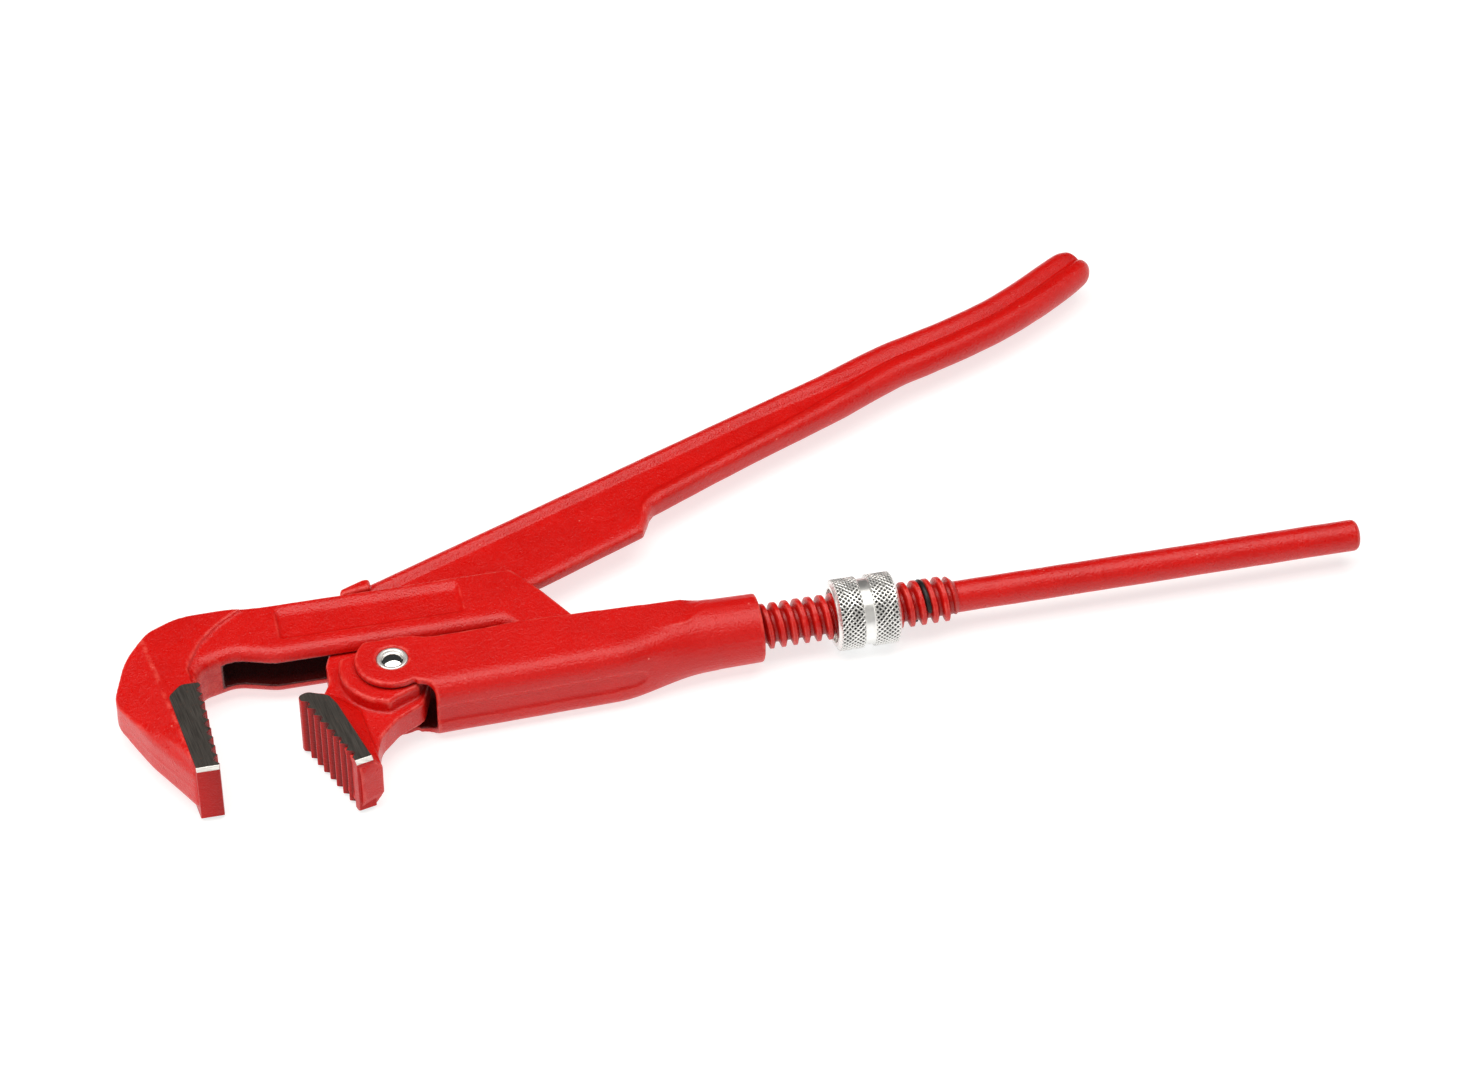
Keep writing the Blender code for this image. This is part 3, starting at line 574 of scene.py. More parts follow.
def taper():
    """The shank's change from its square block to the round screw."""
    square_x, round_x = 43.0, 55.0
    low, high, half = -7.2, 6.2, FACE - 0.4
    rings = []
    for step in range(11):
        share = step / 10
        blend = share * share * (3 - 2 * share)
        ring = []
        for k in range(48):
            angle = 2 * math.pi * k / 48
            c, s = math.cos(angle), math.sin(angle)
            scale = 1.0 / max(abs(c), abs(s)) ** 0.8
            y = min(max((low + high) / 2 + (high - low) / 2 * c * scale, low), high)
            z = min(max(half * s * scale, -half), half)
            x = square_x + (round_x - square_x) * share
            ring.append((x, y * (1 - blend) + 4.8 * c * blend, z * (1 - blend) + 4.8 * s * blend))
        rings.append(ring)
    return skin("taper", rings)


cheeks = rounded_slab("cheeks", HOOK_CORNERS, FACE, BEVEL_Z)
cutters = [slot_cutter(), facet("f1", 1), facet("f2", -1), panel_cutter(1), panel_cutter(-1)]
combine(cheeks, cutters, "DIFFERENCE")

# the same for the head, which is thicker than the cheeks
HEAD_CORNERS = (
    (-48.3, -26.9, 0.0, (-0.5, 0.5)),
    (-48.3, 2.6, 0.0, (-0.5, 0.3)),
    (-48.4, 5.8, 1.4, (-0.5, 0.3)),
    (-48.7, 8.7, 4.0, (-0.6, 0.2)),
    (-44.7, 16.9, 14.0, (-0.6, 0.2)),
    (-39.1, 22.7, 14.0, (-0.5, 0.3)),
    (-33.1, 27.2, 0.0, (-0.5, 0.0)),
    (-38.1, 28.0, 10.0, (-0.2, -0.4)),
    (-49.6, 27.8, 16.0, (0.1, -0.5)),
    (-57.4, 24.0, 9.0, (0.4, -0.5)),
    (-63.8, 16.0, 20.0, (0.5, -0.3)),
    (-68.0, 4.6, 8.0, (1.2, 0.1)),
    (-60.9, -11.8, 30.0, (4.2, 2.2)),
    (-52.5, -26.0, 2.5, (1.8, 0.9)),
    (-50.3, -26.9, 0.0, (0.4, 0.6)),
)
head = tilted(rounded_slab("head", HEAD_CORNERS, HEAD, 3.0, 0.3))
combine(head, [slot_cutter(), facet("f1", 1), facet("f2", -1)], "DIFFERENCE")
core = lathe("core", [(50.0, 0.0), (50.0, 4.6), (64.0, 4.6), (66.0, 4.1), (80.0, 4.1), (80.0, 0.0)], 48)
hook = forged("hook_forging", [cheeks, head, taper(), core])
uneven(hook, 0.05, 6.0)
mark_edges(hook)


def slot_shade(x, y, z):
    """Painted shade on the walls of the slot."""
    return 0.93 * clamp((SLOT + 0.5 - abs(z)) / 0.3) * clamp((y + 2.4) / 0.3) * clamp((x + 41.0) / 0.5)


def highlight_ridge_and_rub_throat(obj):
    """Paints a highlight along the head's ridge line and marks the throat as rubbed."""
    ridge_start, ridge_end = Vector((-60.4, 31.0)), Vector((-50.9, -31.0))
    ridge_side = Vector((ridge_start.y - ridge_end.y, ridge_end.x - ridge_start.x)).normalized()
    throat = Vector((-43.6, 7.6, 0.0))
    wear_and_highlight = obj.data.attributes["edge"].data
    for vertex in obj.data.vertices:
        on_ridge = 1.0 - abs((vertex.co.xy - ridge_start).dot(ridge_side)) / 0.9
        # painted highlight along the ridge line
        if on_ridge > 0.0 and abs(vertex.normal.z) > 0.5:
            wear_and_highlight[vertex.index].value = max(wear_and_highlight[vertex.index].value, 1.1 * on_ridge)
        if (vertex.co - throat).xy.length < 5.0 and vertex.normal.z < 0.8:
            wear_and_highlight[vertex.index].value = 0.62


shade(hook, slot_shade)
highlight_ridge_and_rub_throat(hook)
placed(hook, "hook", ["hook_jaw"], [FORGED_RED])


# ---------------------------------------------------------------- tooth bars


def tooth_line(start, end, count):
    """Saw teeth from start to end with the solid on the left."""
    line = Vector(end) - Vector(start)
    along = line.normalized()
    inward = Vector((-along.y, along.x))
    pitch = line.length / count
    found = []
    for k in range(count):
        at = Vector(start) + along * (pitch * k)
        found.append(tuple(at + along * (0.08 * pitch)))
        found.append(tuple(at + along * (0.46 * pitch) + inward * TOOTH_DEPTH))
        found.append(tuple(at + along * (0.66 * pitch) + inward * TOOTH_DEPTH))
        found.append(tuple(at + along * (0.97 * pitch)))
    return found


def tooth_bar(name, outline, half, end_from, end_to, chamfer, teeth, body, node, slot):
    """The ground bar that carries the teeth, its tip edge ground to a bright chamfer."""
    bar = prism(name, outline, half)
    out = Vector((end_to[1] - end_from[1], end_from[0] - end_to[0])).normalized()
    middle = (Vector(end_from) + Vector(end_to)) / 2
    tools = []
    for side in (1, -1):
        low = middle - out * chamfer
        points = []
        for shift in (-30.0, 30.0):
            along = Vector((-out.y, out.x)) * shift
            for x, y, z in (
                (low.x - out.x * 2, low.y - out.y * 2, half + 2 * 0.8),
                (low.x + out.x * 6, low.y + out.y * 6, half - 6 * 0.8),
                (low.x + out.x * 6, low.y + out.y * 6, half + 6),
            ):
                points.append((x + along.x, y + along.y, z * side))
        faces = [(0, 1, 2), (5, 4, 3), (0, 3, 4, 1), (1, 4, 5, 2), (2, 5, 3, 0)]
        tools.append(solid("chamfer", points, faces))
    combine(bar, tools, "DIFFERENCE")
    bevel = bar.modifiers.new("crisp", "BEVEL")
    bevel.width = 0.1
    bevel.segments = 2
    bevel.limit_method = "ANGLE"
    bevel.angle_limit = math.radians(25)
    baked(bar)
    for polygon in bar.data.polygons:
        steep = abs(polygon.normal.z)
        lean = polygon.normal.x * out.x + polygon.normal.y * out.y
        reach = (polygon.center.x - middle.x) * out.x + (polygon.center.y - middle.y) * out.y
        tip = lean > 0.3 and steep > 0.5 and reach > -chamfer - 0.2
        polygon.material_index = 2 if steep > 0.97 else 1 if tip else 0
    along = (Vector(teeth[1]) - Vector(teeth[0])).normalized()
    inward = Vector((-along.y, along.x))

    def gullet_shade(x, y, z):
        """Painted shade down between the teeth."""
        depth = ((x - teeth[0][0]) * inward.x + (y - teeth[0][1]) * inward.y) / TOOTH_DEPTH
        return 0.92 * clamp(depth) if depth < 1.2 else 0.0

    shade(bar, gullet_shade)
    indices = [p.material_index for p in bar.data.polygons]
    placed(bar, body, [node], [SHADED_CUT_RED, CHAMFER, GROUND], smooth=False)
    bar.data.polygons.foreach_set("material_index", indices)
    return bar


HOOK_TIP = ((-51.75, -27.7), (-46.2, -27.7))
HOOK_TEETH = ((-46.0, -26.4), (-46.75, 1.2))
hook_bar = [*HOOK_TIP, (-46.0, -26.6)] + tooth_line(*HOOK_TEETH, 9)
hook_bar += [(-46.8, 1.6), (-47.2, 2.5)]
hook_bar += rounded([(-47.2, 2.6), (-51.6, 2.6, 2.6), (-55.0, -0.9, 2.4), (-54.6, -4.0)], 8)[1:]
tooth_bar(
    "hook_tooth_bar", hook_bar, BAR_HALF, *HOOK_TIP, 0.9, HOOK_TEETH, "hook", "hook_jaw", "hook_red_paint"
)

# ---------------------------------------------------------------- screw and plain rod

SCREW_START = 62.0
SCREW_END = 142.3
ROW_STEP = 0.15
ROD_END_ROUND = 1.5


def screw():
    """One round body: a rolled right-hand thread, then the plain rod with a worn end."""
    steps = 72
    rows = [SCREW_START + ROW_STEP * k for k in range(int((SCREW_END + 1.2 - SCREW_START) / ROW_STEP))]
    rows += [144.0 + 1.5 * k for k in range(68)]
    end = []
    for t in np.linspace(0, 1.45, 9):
        x = ROD_END - 1.9 + ROD_END_ROUND * math.sin(t)
        end.append((x, ROD_R - ROD_END_ROUND + ROD_END_ROUND * math.cos(t)))
    points = [(SCREW_START, 0.0, 0.0)]
    for x in rows:
        fade = min(max((SCREW_END - x) / 2.2, 0.0), 1.0)
        base = ROD_R + (ROOT_R - ROD_R) * fade
        for k in range(steps):
            angle = 2 * math.pi * k / steps
            phase = ((x - THREAD_X) / PITCH - k / steps) % 1.0
            away = clamp((abs((phase - 0.625 + 0.5) % 1.0 - 0.5) - 0.13) / 0.27)
            r = base + (CREST_R - ROOT_R) * (1 - away * away * (3 - 2 * away)) * fade
            points.append((x, r * math.cos(angle), r * math.sin(angle)))
    for x, r in end:
        for k in range(steps):
            angle = 2 * math.pi * k / steps
            points.append((x, r * math.cos(angle), r * math.sin(angle)))
    points.append((ROD_END - 0.35, 0.0, 0.0))
    faces = []
    total = len(rows) + len(end)
    for k in range(steps):
        n = (k + 1) % steps
        faces.append((0, 1 + n, 1 + k))
        for row in range(total - 1):
            a = 1 + row * steps
            faces.append((a + k, a + n, a + steps + n, a + steps + k))
        last = 1 + (total - 1) * steps
        faces.append((len(points) - 1, last + k, last + n))
    return solid("hook_screw", points, faces)


def root_shade(x, y, z):
    """Painted shade down in the thread."""
    return 0.42 * clamp((5.35 - math.hypot(y, z)) / 1.1) * clamp((SCREW_END + 0.5 - x) / 1.5)


rod = screw()
uneven(rod, 0.06, 5.0)
mark_edges(rod)
shade(rod, root_shade)
placed(rod, "hook", ["hook_jaw"], [FORGED_RED])

# ---------------------------------------------------------------- lever forging

RIM_START = Vector((0.9, 35.1))
RIM_ANGLE = math.radians(22.9)
# distance along the rim, width, rim width, upper and lower rim half thickness, roundness of the rims
STRAIGHT = (
    (-8.0, 21.0, 4.3, 3.3, WEB, 0.0),
    (8.0, 22.5, 4.3, 3.3, WEB, 0.0),
    (35.4, 23.4, 4.3, 3.3, WEB, 0.0),
    (66.5, 22.7, 4.3, 3.3, WEB, 0.0),
    (69.4, 20.2, 4.3, 3.3, WEB + 0.2, 0.0),
    (71.2, 18.4, 4.3, 3.3, WEB + 0.6, 0.0),
    (73.6, 17.0, 4.3, 3.3, 2.95, 0.0),
    (77.5, 16.6, 4.3, 3.3, 3.3, 0.0),
    (95.0, 15.6, 4.3, 3.3, 3.3, 0.0),
    (113.0, 14.8, 4.4, 3.4, 3.4, 0.1),
    (126.0, 14.6, 5.0, 3.5, 3.5, 0.5),
    (137.0, 14.4, 6.0, 3.7, 3.7, 0.9),
)
# centre x and y, width, lobe half thickness
GRIP = (
    (147.0, 90.2, 14.1, 3.7),
    (158.0, 94.2, 13.7, 3.8),
    (170.0, 98.7, 13.3, 3.8),
    (181.0, 103.6, 13.1, 3.8),
    (191.0, 109.3, 13.0, 3.8),
    (200.0, 115.3, 13.0, 3.7),
    (205.4, 119.2, 12.4, 3.5),
    (207.6, 120.7, 11.0, 3.1),
    (208.9, 121.5, 8.8, 2.4),
    (209.5, 121.9, 6.0, 1.5),
)


def rim_profile(half, rim, thick, lobe, steep):
    """(u, z) from the outer edge in to the web, between a flat-sided rim and a round lobe."""
    flat = (
        (0.0, 0.0), (0.0, 0.28), (0.02, 0.50), (0.08, 0.68), (0.18, 0.82), (0.31, 0.92),
        (0.46, 0.985), (0.58, 1.0), (0.74, 0.93), (0.92, 0.79), (1.08, 0.64),
    )
    full = (
        (0.0, 0.0), (0.02, 0.28), (0.08, 0.54), (0.17, 0.75), (0.28, 0.90), (0.42, 0.99),
        (0.55, 1.0), (0.70, 0.98 if steep else 0.94), (0.83, 0.92 if steep else 0.84),
        (0.92, 0.74), (1.0, 0.60),
    )
    found = []
    for (u0, z0), (u1, z1) in zip(flat, full):
        u = (u0 * (1 - lobe) + u1 * lobe) * rim
        z = (z0 * (1 - lobe) + z1 * lobe) * thick
        found.append((half - u, z if u < 0.5 * rim else max(z, WEB if lobe < 0.5 else 1.1)))
    return found


def lever_section(centre, across, width, rim, upper, lower, lobe):
    """One ring of the lever, square to its run."""
    top = rim_profile(width / 2, rim, upper, lobe, False)
    low = [(-u, z) for u, z in reversed(rim_profile(width / 2, rim, lower, lobe, True))]
    if lower < 2.9:
        share = (lower - WEB) / (3.3 - WEB)
        low = [(u, min(z, WEB + share * (3.3 - WEB))) for u, z in low]
    half = top + low
    ring = half + [(u, -z) for u, z in reversed(half[1:-1])]
    return [(centre.x + across.x * u, centre.y + across.y * u, z) for u, z in ring]


def lerp(a, b, t):
    return tuple(x + (y - x) * t for x, y in zip(a, b))


def curve_at(rows, i, t):
    """A smooth curve through rows of numbers, between row i and the next."""
    p0, p1 = rows[max(i - 1, 0)], rows[i]
    p2, p3 = rows[i + 1], rows[min(i + 2, len(rows) - 1)]
    found = []
    for a, b, c, d in zip(p0, p1, p2, p3):
        square, cube = 2 * a - 5 * b + 4 * c - d, 3 * b - a - 3 * c + d
        found.append(0.5 * (2 * b + (c - a) * t + square * t * t + cube * t ** 3))
    return tuple(found)


def lever():
    """Two rims and a web out of the slot, turning into the two round ridges of the grip."""
    along = Vector((math.cos(RIM_ANGLE), math.sin(RIM_ANGLE)))
    across = Vector((-along.y, along.x))
    rows = []
    for a, b in zip(STRAIGHT, STRAIGHT[1:]):
        for k in range(6):
            distance, width, rim, upper, lower, lobe = lerp(a, b, k / 6)
            centre = RIM_START + along * distance - across * (width / 2)
            rows.append((centre.x, centre.y, width, rim, upper, lower, lobe))
    distance, width, rim, upper, lower, lobe = STRAIGHT[-1]
    centre = RIM_START + along * distance - across * (width / 2)
    coarse = [(centre.x, centre.y, width, rim, upper, lower, lobe)]
    coarse += [(x, y, width, width * 0.5, lobe, lobe, 1.0) for x, y, width, lobe in GRIP]
    for i in range(len(coarse) - 1):
        rows += [curve_at(coarse, i, k / 6) for k in range(6)]
    rows.append(coarse[-1])
    rings = []
    for i, row in enumerate(rows):
        before, after = Vector(rows[max(i - 1, 0)][:2]), Vector(rows[min(i + 1, len(rows) - 1)][:2])
        straight = row[0] < centre.x - 0.5
        heading = along if straight else (after - before).normalized()
        side = Vector((-heading.y, heading.x))
        rings.append(lever_section(Vector(row[:2]), side, *row[2:]))
    return skin("lever", rings)


PLATE_OUTLINE = rounded(
    [
        (-12.5, -32.5),
        (-8.6, -31.0, 1.2),
        (-8.0, -26.0, 4.0),
        (-6.2, -20.6, 7.0),
        (-1.4, -15.6, 6.0),
        (5.6, -11.6, 3.0),
        (8.4, -4.0, 3.0),
        (9.5, 3.0, 3.0),
        (13.0, 12.5, 3.0),
        (24.0, 19.4),
        (20.0, 28.0),
        (4.0, 31.0),
        (-5.5, 29.6),
        (-8.7, 27.0),
        (-15.6, 7.0, 4.0),
        (-15.9, 0.5, 3.0),
        (-19.3, -6.0),
        (-20.5, -8.5),
    ]
)
boss_outline = arc((0.0, 0.0), 13.2, 158.0, 258.0, 30)
boss_outline += [(-0.8, -11.6), (5.0, -9.0)]
boss_outline += arc((0.0, 0.0), 8.6, -40.0, 140.0, 40)

# tooth pad: its back slopes from the ground strip down to the plate
PAD_TOP = [(-13.9, -33.3), (-9.8, -32.4), (-15.7, -12.0, 2.0), (-17.1, -8.2, 2.0)]
PAD_TOP += [(-21.6, -6.7, 2.0), (-21.9, -9.0)]
PAD_BASE = [(-13.2, -34.3), (-7.8, -32.0), (-10.0, -11.0, 2.0), (-14.4, -5.6, 2.0)]
PAD_BASE += [(-21.9, -5.6, 2.0), (-22.0, -8.6)]
PAD_TIP_Y = -31.0
PAD_TIP_HALF = 7.2
pad_top = rounded(PAD_TOP)
pad_base = rounded(PAD_BASE)
pad_levels = (
    (inset(pad_top, 0.3), -8.4),
    (pad_top, -8.0),
    (pad_base, -4.2),
    (pad_base, 4.2),
    (pad_top, 8.0),
    (inset(pad_top, 0.3), 8.4),
)
pad = skin("pad", [[(x, y, z) for x, y in shape] for shape, z in pad_levels])
for vertex in pad.data.vertices:
    if vertex.co.y < PAD_TIP_Y:
        vertex.co.z = min(max(vertex.co.z, -PAD_TIP_HALF), PAD_TIP_HALF)
LUG = [(-8.7, 27.85), (-0.6, 29.2), (-0.4, 32.7, 0.8), (-2.4, 32.6, 0.8), (-8.2, 30.2, 0.8)]
lug = prism("lug", rounded(LUG, 5), 6.4, 0.6)
plate = prism("plate", PLATE_OUTLINE, PLATE, 0.4)
boss = prism("boss", boss_outline, FACE - 0.05, 0.6)
for part in (plate, boss):
    combine(part, [pin_bore("bore")], "DIFFERENCE")
lever_forging = forged("lever_forging", [lever(), plate, boss, pad, lug])
uneven(lever_forging, 0.05, 6.0)
mark_edges(lever_forging)
placed(lever_forging, "handle", ["handle_jaw"], [FORGED_RED])

JAW_TIP = ((-14.2, -33.6), (-10.0, -32.6))
JAW_TEETH = ((-23.95, -9.55), (-14.9, -31.4))
JAW_NOSE = [(-15.4, -12.4), (-17.0, -8.9, 2.2), (-22.0, -6.7, 2.2), (-24.6, -7.8, 1.3), (-24.1, -9.5)]
jaw_bar = [*JAW_TIP] + rounded(JAW_NOSE, 8) + tooth_line(*JAW_TEETH, 8) + [(-14.7, -32.0)]
tooth_bar(
    "jaw_tooth_bar", jaw_bar, BAR_HALF, *JAW_TIP, 1.0, JAW_TEETH, "handle", "handle_jaw", "handle_red_paint"
)

# ---------------------------------------------------------------- sleeve

SHEET = 1.8
MOUTH_X = 8.7
SLEEVE_END = 91.7
SLEEVE_HALF = 8.98
SLEEVE_CORNER = 5.0
TUBE_R = 8.75
OPEN_UNTIL = 75.45
# a half ring's angles on the tube from bottom to top, and the last point on the channel's side wall
CIRCLE_DEG = (-90, -78, -66, -54, -46, -39, -32, -27, -22, -13, 2, 17, 31, 46, 60, 75, 90)
LIP = 13
CORNER_DEG = (15.0, 30.0, 45.0, 60.0, 75.0)


def ease(x, start, length):
    """0 before start and 1 after start + length, with a smooth change between."""
    t = min(max((x - start) / length, 0.0), 1.0)
    return t * t * (3 - 2 * t)


def sleeve_bottom(x):
    """Y of the outer skin's bottom, which rises slowly away from the mouth."""
    return -13.35 + 0.0265 * max(x - MOUTH_X, 0.0)


def sleeve_half_ring(x, inset_by):
    """Points (y, z) from the bottom centre round the +Z side to the top centre."""
    half = SLEEVE_HALF - inset_by
    low = sleeve_bottom(x) + inset_by
    high = 7.4 if x < 10.0 else 6.3 - 0.034 * min(max(x - 37.0, 0.0), 38.0)
    corner = SLEEVE_CORNER - inset_by
    flat = half - corner
    box = [(low, 0.0), (low, flat / 3), (low, flat * 2 / 3), (low, flat)]
    for angle in CORNER_DEG:
        s, c = math.sin(math.radians(angle)), math.cos(math.radians(angle))
        box.append((low + corner * (1 - c), flat + corner * s))
    start = low + corner
    box += [(start + (high - start) * t, half) for t in (0.0, 0.25, 0.5, 0.75, 1.0)]
    box += [(high, half * 0.66), (high, half * 0.33), (high, 0.0)]
    radius = TUBE_R + 0.2 * clamp((SLEEVE_END - x) / 14.0) - (0.1 if x > 80.2 else 0.0) - inset_by
    points = []
    for i, ((y, z), degrees) in enumerate(zip(box, CIRCLE_DEG)):
        share = ease(x, 54.0, 25.0) if i < 10 else ease(x, 72.0, 6.5)
        angle = math.radians(degrees)
        circle_y, circle_z = radius * math.sin(angle), radius * math.cos(angle)
        points.append((y * (1 - share) + circle_y * share, z * (1 - share) + circle_z * share))
    return points


def channel(x_values, inset_by, lift):
    """Rings of the sheet's outside or inside, the top raised by lift where the channel is open."""
    rings = []
    for x in x_values:
        up = lift if x < OPEN_UNTIL else 0.0
        half = [(y + up if i > LIP else y, z) for i, (y, z) in enumerate(sleeve_half_ring(x, inset_by))]
        rings.append([(x, y, z) for y, z in half] + [(x, y, -z) for y, z in half[-2:0:-1]])
    return rings


def sleeve_blank():
    """The bent sheet: a box-to-tube body less an inside that breaks out through the top of the channel."""
    x_outer = [-11.0, MOUTH_X] + [12.0 + 3.5 * k for k in range(12)]
    x_outer += [54.0 + 1.5 * k for k in range(18)] + [80.1, 80.3, 84.0, SLEEVE_END]
    x_inner = [-13.0, MOUTH_X] + [x for x in x_outer[2:-1] if x != 75.0] + [75.4, 75.5, 94.0]
    outer = skin("outer", channel(x_outer, 0.0, 0.0))
    inner = skin("inner", channel(sorted(x_inner), SHEET, 8.0))
    return combine(outer, [inner], "DIFFERENCE")


sleeve = sleeve_blank()
# cut away round the two ears, from the mouth's rounded notch over the pin to the channel's top edge
ear_outline = [(-30.0, 16.0), (-30.0, -20.0), (MOUTH_X, -20.0), (MOUTH_X, -13.2)]
ear_outline += arc((5.2, -12.75), 3.5, 0.0, 96.0, 12)
ear_outline += arc((0.0, 0.0), 9.2, -62.0, -232.0, 48)
ear_outline += [(-2.6, 7.1), (3.4, 7.3), (6.2, 6.9), (9.0, 5.9), (12.0, 5.7), (24.0, 5.8)]
ear_outline += [(34.0, 6.6), (34.0, 16.0)]
ears = prism("ears", ear_outline, CUTTER_HALF)
bead_rings = []
for x, share in ((-12.0, 1.0), (MOUTH_X, 1.0), (53.0, 1.0), (58.5, 0.9), (60.6, 0.55), (61.4, 0.1)):
    half = 2.75 * share
    top = sleeve_half_ring(x, 0.6 * min(1.0, 0.4 + share))[0][0]
    ring = [(x, -20.0, -half), (x, -20.0, half), (x, top - 0.5, half)]
    ring += [(x, top, half * 0.75), (x, top, -half * 0.75), (x, top - 0.5, -half)]
    bead_rings.append(ring)
combine(sleeve, [ears, skin("bead", bead_rings), pin_bore("holes")], "DIFFERENCE")
sleeve = forged("sleeve_pressing", [sleeve], VOXEL, 2)
uneven(sleeve, 0.04, 9.0)
mark_edges(sleeve)


def sheet_depth(x, y, z):
    """Painted shade inside the channel, from how far a point lies under the outer skin."""
    low = sleeve_bottom(x)
    flat = SLEEVE_HALF - SLEEVE_CORNER
    depth = min(y - low, SLEEVE_HALF - abs(z))
    if y < low + SLEEVE_CORNER and abs(z) > flat:
        depth = SLEEVE_CORNER - math.hypot(abs(z) - flat, low + SLEEVE_CORNER - y)
    return 0.9 * clamp((depth - 1.2) / 0.3) * clamp((55.0 - x) / 4.0)


shade(sleeve, sheet_depth)
placed(sleeve, "sleeve", ["sleeve"], [SLEEVE_RED])

# ---------------------------------------------------------------- pivot pin

DOME_R = 2.6
RIM_R = 2.69

# half of it: a low dome, the groove round it, and the rivet's rolled rim
pin_profile = [(-8.95 + 0.75 * (r / DOME_R) ** 2, r) for r in np.linspace(0.0, DOME_R, 12)]
pin_profile += [(-8.2, 2.7), (-8.62, 2.84), (-8.78, 3.1), (-8.8, 3.5), (-8.7, 3.77), (-8.5, 3.85)]
pin_profile += [(-x, r) for x, r in reversed(pin_profile)]
pin = lathe("rivet_pin", pin_profile, 72)
reach = [math.hypot(*vertex.co.yz) for vertex in pin.data.vertices]
on_rim = [int(min(reach[i] for i in polygon.vertices) > RIM_R) for polygon in pin.data.polygons]
pin.data.transform(Matrix.Rotation(math.radians(90.0), 4, "Y"))
placed(pin, "sleeve", ["pivot_pin"], [POLISHED, RIVET_RIM])
pin.data.polygons.foreach_set("material_index", on_rim)

# ---------------------------------------------------------------- knurled nut

NUT_X0 = 110.5
NUT_X1 = 126.6
NUT_R = 9.05
BORE_R = 6.0
KNURLS = 42
KNURL_PITCH = 2 * math.pi * NUT_R / KNURLS


def knurled_nut():
    """Two diamond-knurled bands about a plain groove, with chamfered ends and a counterbored mouth."""
    steps = KNURLS * 10
    middle = (NUT_X0 + NUT_X1) / 2
    rows = [(NUT_X1 - 0.5, BORE_R, 0), (NUT_X1 - 0.1, 6.3, 0), (NUT_X1, 6.6, 0), (NUT_X1, 7.7, 0)]
    rows.append((NUT_X1 - 0.15, 8.0, 0))
    for top, bottom in ((NUT_X1 - 0.75, middle + 1.45), (middle - 1.45, NUT_X0 + 0.75)):
        rows.append((top + 0.12, 8.5, 0))
        count = round((top - bottom) / 0.14)
        rows += [(top + (bottom - top) * k / count, 0.0, 1) for k in range(count + 1)]
        rows.append((bottom - 0.12, 8.5, 0))
        if bottom > middle:
            rows += [(middle + 1.1, 8.35, 0), (middle - 1.1, 8.35, 0)]
    rows += [(NUT_X0 + 0.15, 8.0, 0), (NUT_X0, 7.8, 0), (NUT_X0, 7.0, 0), (NUT_X0 + 0.15, 6.85, 0)]
    rows += [(NUT_X0 + 1.6, 6.8, 0), (NUT_X0 + 2.2, BORE_R, 0)]
    points = []
    pit_shade = {}
    for x, radius, knurl in rows:
        for k in range(steps):
            angle = 2 * math.pi * k / steps
            r = radius
            if knurl:
                a = (KNURLS * k / steps + x / KNURL_PITCH) % 1.0
                b = (KNURLS * k / steps - x / KNURL_PITCH) % 1.0
                deep = clamp((min(1 - 2 * abs(a - 0.5), 1 - 2 * abs(b - 0.5)) - 0.3) / 0.7)
                r = NUT_R - 0.02 - 0.55 * deep ** 0.7
                pit_shade[len(points)] = clamp((deep - 0.02) / 0.22)
            points.append((x, r * math.cos(angle), r * math.sin(angle)))
    faces = []
    for row in range(len(rows)):
        a = row * steps
        b = ((row + 1) % len(rows)) * steps
        for k in range(steps):
            n = (k + 1) % steps
            faces.append((a + k, b + k, b + n, a + n))
    obj = solid("knurled_nut", points, faces)
    # painted shade in the knurl's pits, stored as the attribute shade
    layer = obj.data.attributes.new("shade", "FLOAT", "POINT")
    for i, value in pit_shade.items():
        layer.data[i].value = 0.92 * value
    return obj


nut = knurled_nut()
placed(nut, "nut", ["adjusting_nut"], [CHROME])
nut.data.set_sharp_from_angle(angle=math.radians(32))

# ---------------------------------------------------------------- stop ring

RING_X = THREAD_X + 0.375 + 22 * PITCH
RING_R = 5.2
WIRE_R = 0.62


def stop_ring():
    """Three quarters of a turn of wire along the thread's groove, thinner at its ends."""
    rings = []
    for k in range(91):
        turn = -0.28 + 0.75 * k / 90
        angle = 2 * math.pi * turn
        x = RING_X + PITCH * turn
        wire = WIRE_R * min(1.0, 0.75 + min(k, 90 - k) * 0.12)
        ring = []
        for j in range(16):
            around = 2 * math.pi * j / 16
            r = RING_R + wire * math.cos(around)
            ring.append((x + wire * math.sin(around), r * math.cos(angle), r * math.sin(angle)))
        rings.append(ring)
    return skin("stop_ring_wire", rings)


placed(stop_ring(), "hook", ["stop_ring"], [BLACK])

# ---------------------------------------------------------------- stage, light and camera

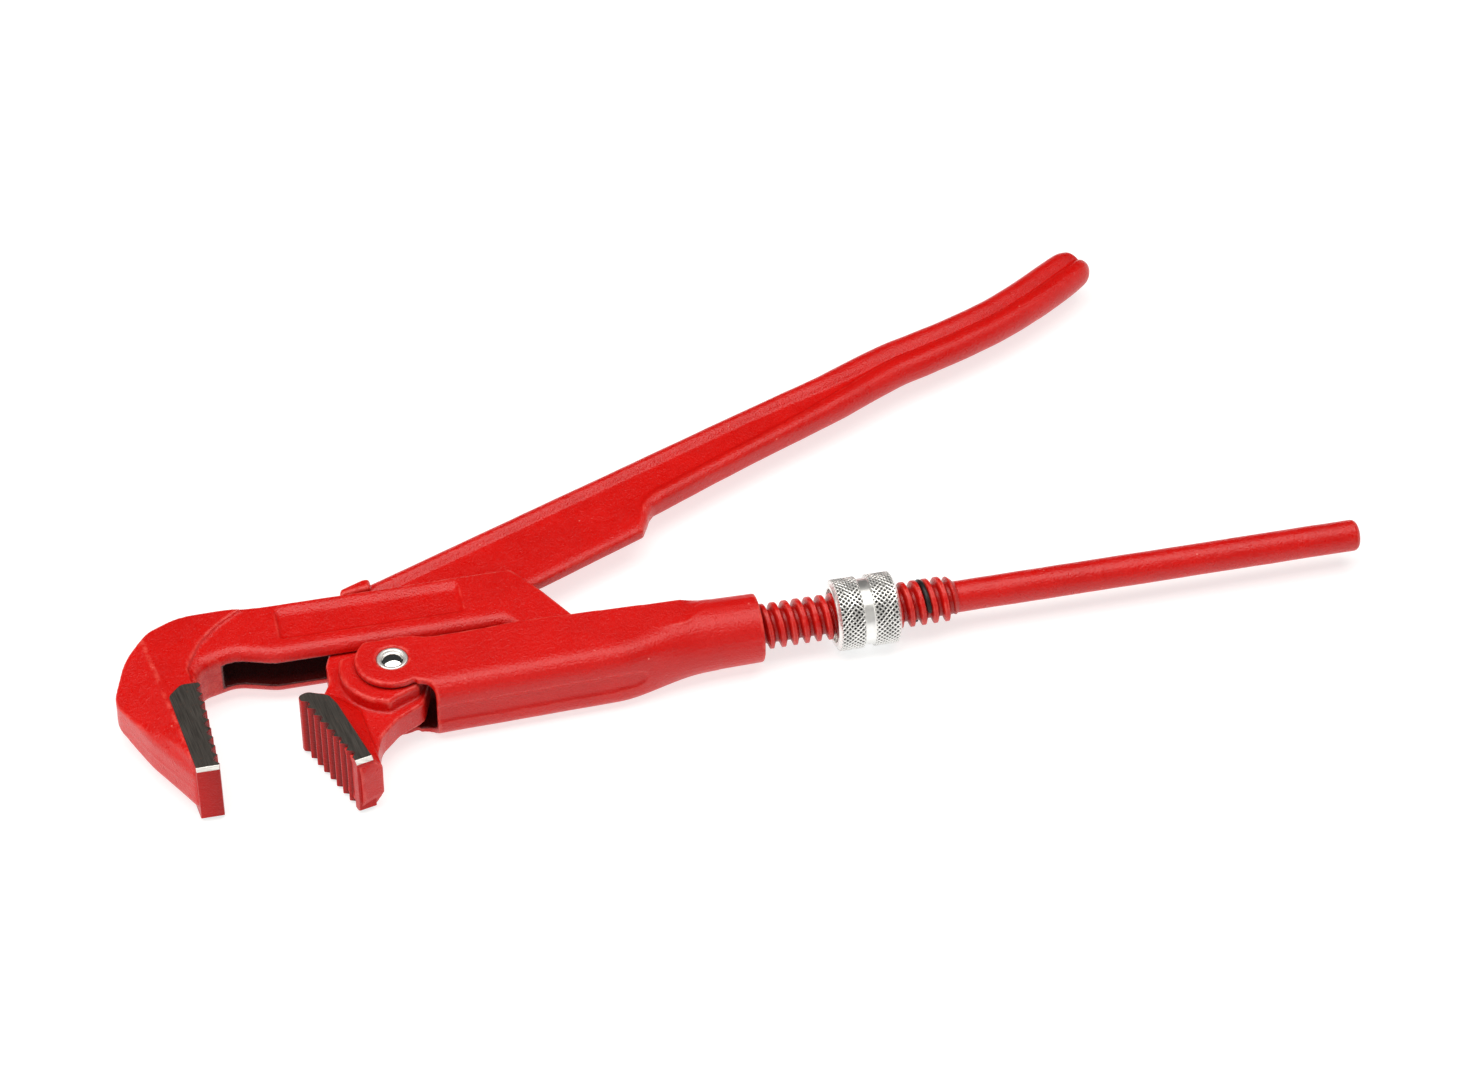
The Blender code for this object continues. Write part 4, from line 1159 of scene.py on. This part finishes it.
bpy.ops.mesh.primitive_plane_add(size=6.0, location=(0.0, 0.0, -0.0002))
floor = bpy.context.object
floor.name = "studio_floor"
floor.data.materials.append(floor_white())


def softbox(name, place, target, size, power):
    """A slightly warm rectangular lamp that faces its target."""
    light = bpy.data.lights.new(name, "AREA")
    light.shape = "RECTANGLE"
    light.size, light.size_y = size
    light.energy = power
    light.color = (1.0, 0.97, 0.93)
    obj = bpy.data.objects.new(name, light)
    bpy.context.scene.collection.objects.link(obj)
    obj.location = place
    obj.rotation_euler = (Vector(target) - Vector(place)).to_track_quat("-Z", "Y").to_euler()


softbox("overhead", (-0.25, -0.05, 1.0), (-0.25, -0.05, 0.0), (1.9, 0.8), 17.0)
softbox("front_fill", (-0.4, -1.3, 0.7), (0.0, 0.0, 0.0), (2.0, 1.2), 5.0)
softbox("left_wall", (-1.3, -0.1, 0.35), (0.0, 0.0, 0.05), (1.4, 0.7), 4.5)
softbox("right_wall", (1.3, 0.1, 0.35), (0.0, 0.0, 0.05), (1.4, 0.7), 3.5)

world = bpy.data.worlds.new("studio")
bpy.context.scene.world = world
world.use_nodes = True
background = world.node_tree.nodes["Background"]
background.inputs["Color"].default_value = (1.0, 1.0, 1.0, 1.0)
background.inputs["Strength"].default_value = 0.04

# the camera's place from the pin's centre, and the picture's right and down directions
VIEW_PLACE = Vector((-94.0, -794.4, 765.8)) * MM + PIN
VIEW_RIGHT = Vector((0.97515, -0.22155, 0.0))
VIEW_DOWN = Vector((-0.14825, -0.65250, -0.74314))
camera_data = bpy.data.cameras.new("camera")
camera_data.sensor_fit = "HORIZONTAL"
camera_data.sensor_width = 36.0
camera_data.lens = 109.8
camera_data.clip_start = 0.05
camera = bpy.data.objects.new("camera", camera_data)
bpy.context.scene.collection.objects.link(camera)
turn = Matrix((VIEW_RIGHT, -VIEW_DOWN, VIEW_RIGHT.cross(-VIEW_DOWN))).transposed()
camera.matrix_world = Matrix.Translation(VIEW_PLACE) @ turn.to_4x4()
bpy.context.scene.camera = camera
bpy.context.scene.view_settings.view_transform = "Standard"

bpy.context.view_layer.update()
